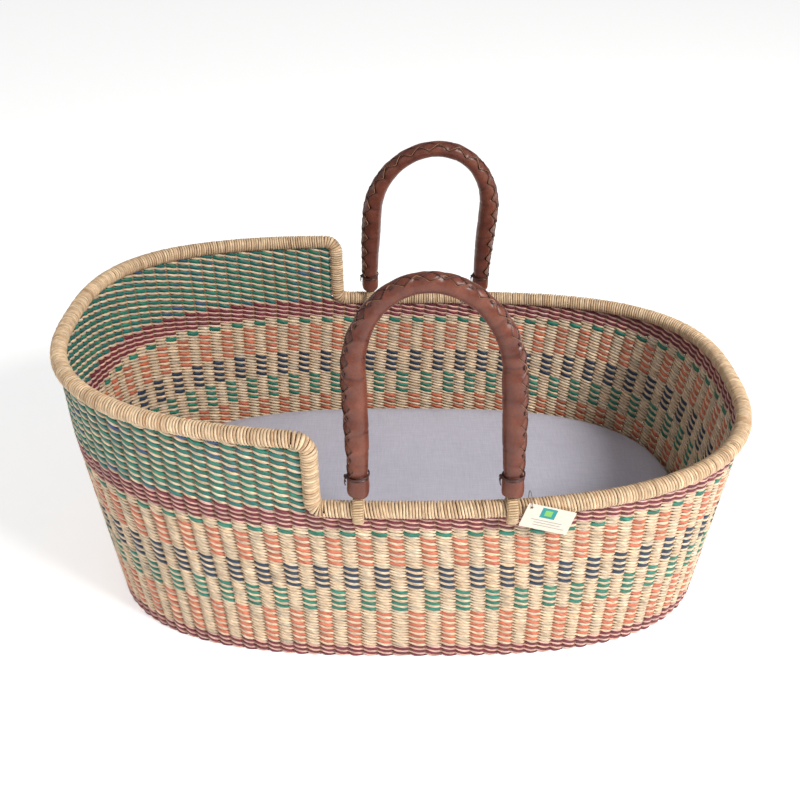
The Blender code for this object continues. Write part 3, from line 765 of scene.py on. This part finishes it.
def sleeve_radius(h, height):
    share = (h - SLEEVE_START) / (height - SLEEVE_START)
    lower = 0.0113 + 0.0023 * np.sin(np.pi / 2 * np.clip(share, 0, 0.45) / 0.45)
    upper = 0.0136 - 0.0026 * (1 - np.cos(np.pi * (np.clip(share, 0.45, 1) - 0.45) / 0.55)) / 2
    return np.where(share < 0.45, lower, upper)


def zigzag(place, phase=0.0):
    """-1 to 1 and back, once per seam period, with slightly blunt corners."""
    turn = (place / SEAM_PERIOD + phase) % 1.0
    return np.clip((1 - np.abs(4 * turn - 2)) * 1.08, -1, 1)


def second_lace_turn(handle, place):
    """Where the second lacing runs: crossing the seam, a little beside it."""
    beside = handle.seam_angle - math.copysign(LACES_APART, handle.seam_angle)
    return beside - SEAM_SWING * zigzag(place)


def build_sleeve(handle, finish):
    """A leather tube whose edge laps over itself along a scalloped seam."""
    even, x, h = handle.centre_line(SLEEVE_START - 0.004, 0.0022)
    points, edge = handle.frames(x, h)
    radius = sleeve_radius(np.maximum(h, SLEEVE_START), handle.height)
    inner = np.concatenate([[0.0, 0.015, 0.05, 0.10], np.linspace(0.17, 2 * math.pi - 0.27, 74),
                            [2 * math.pi - step for step in (0.20, 0.13, 0.07, 0.02)]])
    t = inner[None, :]
    behind = 2 * math.pi - t
    seam = handle.seam_angle + SEAM_SWING * zigzag(even)
    turn = seam[:, None] + t
    lap = 0.0013 * np.exp(-t / 0.30) - 0.0016 * np.exp(-behind / 0.16)
    scallop = np.abs(np.sin(np.pi * even / SEAM_PERIOD))[:, None] ** 0.7
    near = np.exp(-np.minimum(t, behind) / 0.9)
    bulge = 0.0018 * (scallop - 0.6) * near
    mirrored = second_lace_turn(handle, even)
    apart = np.abs((turn - mirrored[:, None] + math.pi) % (2 * math.pi) - math.pi)
    second = np.exp(-(apart / 0.10) ** 2)
    local = np.random.default_rng(handle.seed)
    crease = np.zeros((len(even), len(inner)))
    for spot in np.arange(0.008, even[-1], CREASE_SPACING):
        spot = spot + local.uniform(-0.003, 0.003)
        depth = local.uniform(0.25, 0.9) * CREASE_DEPTH
        centre = local.uniform(0.3, 5.8)
        slant = local.uniform(-0.003, 0.003)
        window = np.exp(-((t - centre) / local.uniform(0.8, 1.7)) ** 2)
        crease += depth * window * np.exp(-((even[:, None] - spot + slant * t) / CREASE_WIDTH) ** 2)
    swell = 0.0004 * smooth_noise(even, 0.02, handle.seed)[:, None]
    reach = radius[:, None] + lap + bulge + swell - crease - 0.0009 * second
    ends = np.minimum(even, even[-1] - even)[:, None]
    reach = reach - 0.0022 * np.exp(-ends / 0.004)
    rings = points[:, None] + reach[..., None] * spokes(turn, edge[:, None], handle.out)
    quads, caps = tube_faces(*rings.shape[:2])
    made = add_piece(handle.name + "_sleeve", rings.reshape(-1, 3), quads + caps, finish,
                     handle.name, [handle.name + "_leather_sleeve"])
    # Painted shade, mixed dark into the leather: strongest under the lapped edge, then in the
    # creases, the scallops' hollows, along the seam's edge and in the second lacing's groove.
    fold = 1.3 * np.exp(-behind / 0.13) + crease / 0.0012 * 0.6 + 0.35 * (1 - scallop) * near
    fold = fold + 0.6 * np.exp(-t / 0.03) + 0.75 * second
    store(made, "fold", "FLOAT", "value", np.clip(fold, 0, 1))
    return even, points, edge, radius, seam


def lace_tube(bag, path, radius, dye, sides=6):
    """A round thread along path."""
    along = unit(np.gradient(path, axis=0))
    across = unit(np.cross(along, np.tile([0.31, 0.52, 0.79], (len(path), 1))))
    upward = np.cross(along, across)
    ring = side_angles(sides)
    radius = np.broadcast_to(radius, len(path))[:, None, None]
    rings = path[:, None] + radius * spokes(ring, across[:, None], upward[:, None])
    bag.tube(rings, dye, fibre_places(distances(path), ring, 0.001))


THONG_TAN = srgb(146, 100, 70)
THONG_DARK = srgb(70, 38, 32)


def build_laces(handle, shape, finish):
    even, points, edge, radius, seam = shape
    bag = Bag()
    runs = ((seam - 0.02, 0.0002, THONG_TAN),
            (second_lace_turn(handle, even), 0.0, THONG_DARK))
    for turn, lift, dye in runs:
        path = points + (radius + lift)[:, None] * spokes(turn, edge, handle.out)
        lace_tube(bag, path[2:-2], LACE_RADIUS, dye)
    bag.piece(handle.name + "_lacing", finish, handle.name, "thong",
              [handle.name + "_seam_lace"])


def ring_about(handle, x, radius, h, turn):
    """Points round a leg's axis."""
    radius, h, turn = np.broadcast_arrays(radius, h, turn)
    spoke = spokes(turn, np.array([1.0, 0, 0]), handle.out)
    return handle.place(x, h) + radius[..., None] * spoke


COLLAR_PROFILE = (  # radius, share of the way up; closed on itself
    (0.0084, 0.00), (0.0102, -0.02), (0.0112, 0.02), (0.0118, 0.10), (0.0122, 0.28),
    (0.0122, 0.52), (0.0119, 0.74), (0.0118, 0.86), (0.0120, 0.94), (0.0114, 0.99),
    (0.0100, 1.00), (0.0086, 0.98),
)


def build_collar(handle, leg, x, finish, seed):
    """A leather cuff with soft edges, its lower edge a little uneven."""
    sides = 56
    turn = side_angles(sides)
    rings, painted_fold_shades = [], []
    for radius, share in COLLAR_PROFILE:
        h = COLLAR_BOTTOM + share * (COLLAR_TOP - COLLAR_BOTTOM)
        sag = (1 - min(max(share, 0), 1)) * 0.0009 * np.sin(2 * turn + seed)
        ripple = 0.00025 * np.sin(5 * turn + seed + 9 * share) * (0.3 + share)
        rings.append(ring_about(handle, x, radius + ripple, h + sag, turn))
        # painted shade on the rolled top edge and the edges turned inward
        painted_fold_shades.append(np.full(sides, 0.55 if share > 0.9 or radius < 0.009 else 0.0))
    quads, _ = tube_faces(len(rings), sides, closed=True)
    made = add_piece(leg + "_collar", np.array(rings).reshape(-1, 3), quads, finish,
                     handle.name, [leg + "_side_collar"])
    store(made, "fold", "FLOAT", "value", np.array(painted_fold_shades))


def build_tie(handle, leg, x, finish):
    """A dark thong, twice round the collar's top, with its knot and tails."""
    bag = Bag()

    def thong(path, radius):
        lace_tube(bag, path, radius, THONG_DARK, 8)

    turn = np.linspace(0, 4 * math.pi, 121)
    h = COLLAR_TOP + 0.0008 + 0.0017 * turn / (4 * math.pi) + 0.0016 * np.cos(turn)
    thong(ring_about(handle, x, 0.0124 - 0.0004 * np.cos(2 * turn), h, turn), 0.00085)
    knot_x = x - KNOT_REACH
    a = np.linspace(0, 2 * math.pi, 60)
    thong(handle.place(knot_x + 0.0009 * (np.sin(a) + 2 * np.sin(2 * a)) * 0.55,
                       COLLAR_TOP - 0.0006 + 0.0009 * (np.cos(a) - 2 * np.cos(2 * a)) * 0.8,
                       -0.0010 * np.sin(3 * a)), 0.0009)
    s = np.linspace(0, 1, 14)
    for lean in (-1, 1):
        thong(handle.place(knot_x - 0.0012 * np.sin(3 * s), COLLAR_TOP - 0.001 - 0.0085 * s,
                           lean * (0.001 + 0.0028 * s)), 0.0008 * (1 - 0.35 * s))
    bag.piece(leg + "_thong", finish, handle.name, "thong", [leg + "_side_tie"])


KNOT_REACH = 0.0132  # from a leg's axis to its thong's knot
BINDING_PITCH = 0.0024
BINDING_TURN_POINTS = 14
BINDING_SPREAD = 0.46  # half width of a turn, in pitches
BINDING_HALF_THICKNESS = 0.0008


def build_binding(handle, leg, x, finish, seed):
    """Fine grass wound round the lug: round its ring, then up its stem."""
    bag = Bag()
    ring = side_angles(4, 0.5)
    spread = BINDING_PITCH * BINDING_SPREAD * np.cos(ring)
    lift = BINDING_HALF_THICKNESS * np.sin(ring)
    ring_turns = int(2 * math.pi * LUG_RING_RADIUS / BINDING_PITCH)
    tone = 1 + np.random.default_rng(seed).normal(0, 0.07, ring_turns + 40)

    def winding(points):
        return 2 * math.pi * np.arange(points) / BINDING_TURN_POINTS

    def wind(theta, rings, closed):
        dye = BINDING * tone[np.floor(theta / (2 * math.pi)).astype(int), None]
        bag.tube(rings, np.clip(dye, 0, 1), fibre_places(theta * 0.006, ring, 0.0006), closed)

    half_width, half_height = LUG_WIDTH / 2 + 0.0002, LUG_THICKNESS / 2 + 0.0002
    theta = winding(ring_turns * BINDING_TURN_POINTS)
    a = (theta / ring_turns)[:, None] + spread / LUG_RING_RADIUS
    w, t = superellipse(theta[:, None], half_width + lift, half_height + lift, 0.72)
    spoke = spokes(a, handle.up, handle.out)
    wind(theta, handle.place(x + w, 0) + (LUG_RING_RADIUS + t)[..., None] * spoke, True)

    low, high = LUG_RING_RADIUS + half_height - 0.001, COLLAR_BOTTOM + 0.004
    stem_turns = int((high - low) / BINDING_PITCH)
    theta = winding(stem_turns * BINDING_TURN_POINTS + 1)
    h = low + (theta / (2 * math.pi) * BINDING_PITCH)[:, None] + spread
    w, t = superellipse(theta[:, None], STEM_RADIUS + 0.0001 + lift,
                        STEM_RADIUS - 0.0006 + lift, 0.75)
    wind(theta, handle.place(x + w, h, t), False)
    bag.piece(leg + "_binding", finish, handle.name, "cream_grass")


def build_handles():
    # the third colour is painted shade, mixed into the sleeves' creases and seam and the collars'
    # edges
    leather = leather_finish("laced_leather", srgb(94, 46, 33), srgb(122, 66, 48),
                             srgb(30, 10, 8))
    thong = grass_finish("thong_leather", 0.5, 0.15)
    binding = grass_finish("binding_grass", 0.5, 0.2)
    for handle in HANDLES:
        shape = build_sleeve(handle, leather)
        build_laces(handle, shape, thong)
        for k, (end, x) in enumerate(zip(("_head", "_foot"), LUG_X)):
            build_collar(handle, handle.name + end, x, leather, handle.seed + k)
            build_tie(handle, handle.name + end, x, thong)
            build_binding(handle, handle.name + end, x, binding, handle.seed + 20 + k)


# ---- mattress
MATTRESS_EXPONENT = 2.85
SHEET_THICKNESS = 0.0010
SHEET_EDGE_RADIUS = 0.016
PAD_EDGE_RADIUS = 0.012
PAD_INSET = 0.007
HEM_REACH = 0.035
SHEET_VOXEL = 0.0074
CLOTH_FRAMES = 20
SHEET_SWELL_LIMIT = 0.0035
SHEET_SIDE_SWELL = 0.0015
SHEET_GROWTH_LENGTHWAYS = 0.009
SHEET_GROWTH_SIDEWAYS = 0.007


def mattress_outline(half_length, half_width, count):
    a = angle_at(PERIMETER * np.arange(count) / count)
    x, y = superellipse(a, half_length, half_width, 2 / MATTRESS_EXPONENT)
    return x + CENTRE_SHIFT, y


def rounded_pad(low, high, half_length, half_width, radius, count=120):
    """Points of a pad with rounded edges, and its faces."""
    profile = []
    for centre, start in ((low + radius, -90), (high - radius, 0)):
        for d in np.radians(np.linspace(start, start + 90, 7)):
            profile.append((-radius + radius * math.cos(d), centre + radius * math.sin(d)))
    inner = [-radius - reach for reach in (0.02, 0.05, 0.09, 0.14, half_width - radius - 0.004)]
    profile = [(grow, low) for grow in inner[::-1]] + profile + [(grow, high) for grow in inner]
    rings = []
    for grow, z in profile:
        x, y = mattress_outline(half_length + grow, half_width + grow, count)
        rings.append(np.stack([x, y, np.full(count, z)], -1))
    quads, caps = tube_faces(len(rings), count)
    return np.array(rings).reshape(-1, 3), quads + caps


def evaluated_mesh(thing):
    bpy.context.view_layer.update()
    graph = bpy.context.evaluated_depsgraph_get()
    return bpy.data.meshes.new_from_object(thing.evaluated_get(graph))


def vectors_of(elements, field):
    """One vector of each vertex or normal, as an array."""
    values = np.zeros(len(elements) * 3, np.float32)
    elements.foreach_get(field, values)
    return values.reshape(-1, 3).astype(float)


def inflate(made):
    """Blows the sheet up a little as cloth, and keeps only what goes outward,
    up to a limit that is smaller at the sides."""
    remesh = made.modifiers.new("remesh", "REMESH")
    remesh.mode = "VOXEL"
    remesh.voxel_size = SHEET_VOXEL
    made.data = evaluated_mesh(made)
    made.modifiers.clear()
    rest = vectors_of(made.data.vertices, "co")
    cloth = made.modifiers.new("cloth", "CLOTH")
    cloth.settings.quality = 4
    cloth.settings.use_pressure = True
    cloth.settings.uniform_pressure_force = 1
    cloth.settings.tension_stiffness = 20
    cloth.settings.effector_weights.gravity = 0
    cloth.collision_settings.use_collision = False
    for number in range(1, CLOTH_FRAMES + 1):
        bpy.context.scene.frame_set(number)
    swollen = vectors_of(evaluated_mesh(made).vertices, "co")
    made.modifiers.clear()
    normals = vectors_of(made.data.vertex_normals, "vector")
    outward = np.maximum(np.sum((swollen - rest) * normals, axis=1), 0)
    limit = SHEET_SIDE_SWELL + (SHEET_SWELL_LIMIT - SHEET_SIDE_SWELL) * np.abs(normals[:, 2])
    settled = rest + normals * (limit * np.tanh(outward / limit))[:, None]
    made.data.vertices.foreach_set("co", settled.astype(np.float32).ravel())
    bpy.context.scene.frame_set(1)


def open_underneath(made, low, half_length, half_width):
    """Takes away the sheet's faces inside the hem, under the mattress."""
    bm = bmesh.new()
    bm.from_mesh(made.data)
    gone = []
    for face in bm.faces:
        middle = face.calc_center_median()
        reach = (abs((middle.x - CENTRE_SHIFT) / half_length) ** MATTRESS_EXPONENT
                 + abs(middle.y / half_width) ** MATTRESS_EXPONENT)
        if middle.z < low + 0.010 and reach < 1:
            gone.append(face)
    bmesh.ops.delete(bm, geom=gone, context="FACES")
    bm.to_mesh(made.data)
    bm.free()


def build_bedding():
    pad_low, pad_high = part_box("mattress_pad")
    sheet_low, sheet_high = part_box("fitted_sheet")
    half_length = (sheet_high.x - sheet_low.x) / 2 + SHEET_GROWTH_LENGTHWAYS
    half_width = (sheet_high.y - sheet_low.y) / 2 + SHEET_GROWTH_SIDEWAYS
    points, faces = rounded_pad(pad_low.z + 0.003, pad_high.z - 0.004, half_length - PAD_INSET,
                                half_width - PAD_INSET, PAD_EDGE_RADIUS)
    foam = plain_finish("foam", srgb(235, 230, 216), 0.9, 260.0)
    pad = add_piece("foam_pad", points, faces, foam, "mattress", ["mattress_pad"])

    swell = SHEET_SWELL_LIMIT
    points, faces = rounded_pad(sheet_low.z + swell, sheet_high.z - swell * 0.6,
                                half_length - SHEET_SIDE_SWELL, half_width - SHEET_SIDE_SWELL,
                                SHEET_EDGE_RADIUS)
    made = mesh_object("sheet", points, faces)
    inflate(made)
    open_underneath(made, sheet_low.z, half_length - HEM_REACH, half_width - HEM_REACH)
    thick = made.modifiers.new("thickness", "SOLIDIFY")
    thick.thickness = SHEET_THICKNESS
    thick.offset = -1
    smooth = made.modifiers.new("smooth", "SUBSURF")
    smooth.levels = smooth.render_levels = 1
    made.data = evaluated_mesh(made)
    made.modifiers.clear()
    made.data.shade_smooth()
    made.data.materials.clear()
    made.data.materials.append(sheet_finish())
    settle(made, "mattress", ["fitted_sheet"])
    frame["nodes"]["sheet_hem_elastic"].data.materials[0] = plain_finish(
        "elastic", srgb(226, 226, 230), 0.8, 700.0)


# ---- swing tag
TAG_HOLE = Vector((0.1318, -0.25495, 0.2590))
TAG_TILT = math.radians(18)
TAG_TURN = math.radians(5)
TAG_LENGTH = 0.056
TAG_HEIGHT = 0.032
TAG_THICKNESS = 0.0006
TAG_HOLE_RADIUS = 0.0018
TAG_HOLE_INSET = 0.0050
TAG_CORNER = 0.0012
TAG_BEND = 0.0009
TAG_EDGE_STEP = 0.004
# the string's loop round the rim, outward of and above the rim's centre line
STRING_ROUTE = (
    (0.0132, 0.0100), (0.0143, 0.0112), (0.0145, 0.0140), (0.0134, 0.0166),
    (0.0105, 0.0190), (0.0060, 0.0204), (0.0005, 0.0200), (-0.0050, 0.0178),
    (-0.0095, 0.0138), (-0.0121, 0.0080), (-0.0127, 0.0010), (-0.0116, -0.0055),
    (-0.0082, -0.0100), (-0.0032, -0.0121), (0.0022, -0.0121), (0.0067, -0.0103),
    (0.0096, -0.0066), (0.0109, -0.0018), (0.0111, 0.0034), (0.0112, 0.0074),
    (0.0121, 0.0096),
)
STRING_DIAMETER = 0.0008


def smooth_route(points, per_span):
    """Points of a Catmull-Rom curve through the given ones."""
    padded = [2 * points[0] - points[1]] + points + [2 * points[-1] - points[-2]]
    made = []
    for k in range(1, len(padded) - 2):
        p0, p1, p2, p3 = padded[k - 1:k + 3]
        for i in range(per_span):
            t = i / per_span
            made.append(0.5 * (2 * p1 + (p2 - p0) * t
                               + (2 * p0 - 5 * p1 + 4 * p2 - p3) * t * t
                               + (3 * p1 - p0 - 3 * p2 + p3) * t ** 3))
    return made + [points[-1]]


def build_string():
    centre = Vector(on_wall(PERIMETER - length_at_x(TAG_HOLE.x), FOOT_RIM_HEIGHT))
    points = [centre + Vector((0, -out, up)) for out, up in STRING_ROUTE]
    route = smooth_route(points, 4)
    curve = bpy.data.curves.new("tag_loop", "CURVE")
    curve.dimensions = "3D"
    curve.bevel_depth = STRING_DIAMETER / 2
    curve.bevel_resolution = 2
    curve.use_fill_caps = True
    spline = curve.splines.new("POLY")
    spline.points.add(len(route) - 1)
    for slot, point in zip(spline.points, route):
        slot.co = (*point, 1.0)
    curve.materials.append(plain_finish("string_thread", srgb(120, 112, 104), 0.5, 1500.0))
    made = settle(new_object("tag_loop", curve), "basket", ["tag_string"])


def tag_finish():
    """Cream card, printed with a plain teal block and three grey rules."""
    shader = Shader("printed_card", 0.5)
    spot = shader.node("ShaderNodeSeparateXYZ", {0: shader.attribute("card").outputs["Vector"]})
    x, y = spot.outputs[0], spot.outputs[1]

    def inside(x0, x1, y0, y1):
        parts = (shader.math("GREATER_THAN", x, x0), shader.math("LESS_THAN", x, x1),
                 shader.math("GREATER_THAN", y, y0), shader.math("LESS_THAN", y, y1))
        made = parts[0]
        for part in parts[1:]:
            made = shader.math("MULTIPLY", made, part)
        return made

    fine = shader.noise(shader.place(), 500.0, 3.0)
    tone = shader.mix(shader.ramp(fine, 0.3, 0.7), srgb(214, 203, 188), srgb(226, 216, 202))
    tone = shader.mix(inside(0.0125, 0.0300, -0.0105, 0.0030), tone, srgb(20, 138, 138))
    tone = shader.mix(inside(0.0170, 0.0255, -0.0075, 0.0000), tone, srgb(120, 184, 90))
    for rule, (start, stop) in enumerate(((0.005, 0.041), (0.009, 0.040), (0.009, 0.045))):
        top = -0.0140 - 0.0034 * rule
        tone = shader.mix(inside(start, stop, top - 0.0009, top), tone, srgb(150, 144, 140))
    shader.colour(tone)
    shader.bump(fine, 0.0001, 0.3)
    return shader.material


def tag_outline():
    """(x, y) points round the card's edge, measured from its hole."""
    left, right = -TAG_HOLE_INSET, TAG_LENGTH - TAG_HOLE_INSET
    top, bottom = TAG_HOLE_INSET, TAG_HOLE_INSET - TAG_HEIGHT
    bends = []
    corners = ((right, top, 0), (left, top, 90), (left, bottom, 180), (right, bottom, 270))
    for cx, cy, start in corners:
        mx = cx - math.copysign(TAG_CORNER, cx - (left + right) / 2)
        my = cy - math.copysign(TAG_CORNER, cy - (top + bottom) / 2)
        for degrees in (0, 30, 60, 90):
            a = math.radians(start + degrees)
            bends.append((mx + TAG_CORNER * math.cos(a), my + TAG_CORNER * math.sin(a)))
    outline = []
    for (x, y), (nx, ny) in zip(bends, bends[1:] + bends[:1]):
        pieces = max(1, round(math.hypot(nx - x, ny - y) / TAG_EDGE_STEP))
        outline += [(x + (nx - x) * i / pieces, y + (ny - y) * i / pieces)
                    for i in range(pieces)]
    return np.array(outline)


def build_tag():
    turn = Matrix.Rotation(TAG_TURN, 3, "Z")
    along = turn @ Vector((math.cos(TAG_TILT), 0, -math.sin(TAG_TILT)))
    up = turn @ Vector((math.sin(TAG_TILT), 0, math.cos(TAG_TILT)))
    front = along.cross(up)
    outer = tag_outline()
    angle = np.arctan2(outer[:, 1], outer[:, 0])
    hole = TAG_HOLE_RADIUS * np.stack([np.cos(angle), np.sin(angle)], -1)
    face = (hole, 0.5 * (hole + outer), outer)
    rings = [(ring, TAG_THICKNESS / 2) for ring in face]
    rings += [(ring, -TAG_THICKNESS / 2) for ring in face[::-1]]
    points, card = [], []
    for ring, lift in rings:
        for x, y in ring.tolist():
            curl = TAG_BEND * (x / TAG_LENGTH) ** 2
            points.append(tuple(TAG_HOLE + x * along + y * up + (lift + curl) * front))
            card.append((x, y, lift))
    faces, _ = tube_faces(len(rings), len(outer), closed=True)
    made = add_piece("printed_tag", points, faces, tag_finish(), "tag", ["swing_tag"])
    made.data.set_sharp_from_angle(angle=math.radians(50))
    store(made, "card", "FLOAT_VECTOR", "vector", card)


# ---- camera, stage
CAMERA_PLACE = (CENTRE_SHIFT - 0.0111, -1.046, 0.9345)
CAMERA_PITCH = 29.35  # degrees below level
LIT_POINT = (0.0, 0.0, 0.15)
SKY_STRENGTH = 0.42
FLOOR_GLOW = 0.48
WHITE = (1.0, 1.0, 1.0, 1.0)


def build_camera():
    camera = new_object("camera", bpy.data.cameras.new("camera"))
    camera.location = CAMERA_PLACE
    camera.rotation_euler = (math.radians(90 - CAMERA_PITCH), 0.0, 0.0)
    camera.data.lens = 42.8
    camera.data.sensor_width = 36
    camera.data.shift_y = -0.1
    camera.data.clip_end = 60
    bpy.context.scene.camera = camera


def add_light(name, place, size, power, colour):
    lamp = bpy.data.lights.new(name, "AREA")
    lamp.shape = "DISK"
    lamp.size = size
    lamp.energy = power
    lamp.color = colour
    made = new_object(name, lamp)
    made.location = place
    towards = Vector(LIT_POINT) - Vector(place)
    made.rotation_euler = towards.to_track_quat("-Z", "Y").to_euler()


def build_stage():
    bpy.ops.mesh.primitive_plane_add(size=40, location=(0, 8, -0.0005))
    floor = bpy.context.object
    floor.name = "studio_floor"
    shader = Shader("studio_paper", 0.9, Specular_IOR_Level=0.1)
    fine = shader.noise(shader.place(), 30.0, 2.0)
    shader.colour(shader.mix(shader.ramp(fine, 0.3, 0.7), (0.90, 0.90, 0.90), (0.92, 0.92, 0.92)))
    shader.surface.inputs["Emission Color"].default_value = WHITE
    shader.surface.inputs["Emission Strength"].default_value = FLOOR_GLOW
    floor.data.materials.append(shader.material)
    world = bpy.data.worlds.new("studio")
    world.use_nodes = True
    background = world.node_tree.nodes["Background"].inputs
    background["Color"].default_value = WHITE
    background["Strength"].default_value = SKY_STRENGTH
    bpy.context.scene.world = world
    add_light("key", (1.9, -1.5, 2.2), 0.9, 94, (1.0, 0.98, 0.95))
    add_light("fill", (-1.6, -1.8, 1.2), 1.8, 7, (0.97, 0.98, 1.0))
    bpy.context.scene.view_settings.view_transform = "Standard"


def build_inner_grass():
    """Better grass on the CAD pieces that stay: cores and lug rings."""
    # the cores' darker colour is partly painted shade, seen in the gaps between the turns wound
    # round them
    core = plain_finish("core_grass", srgb(142, 106, 72), 0.75, 300.0, 0.3, 0.0006)
    cream = plain_finish("lug_grass", srgb(158, 122, 84), 0.65, 600.0, 0.2, 0.0004)
    for name, node in frame["nodes"].items():
        if name.endswith("_core"):
            node.data.materials[0] = core
        if name.endswith("_lug"):
            node.data.materials[0] = cream


build_camera()
build_string()
build_stage()
build_bands()
build_head_panel()
build_stakes()
build_floor()
build_rim()
build_handles()
build_bedding()
build_tag()
build_inner_grass()
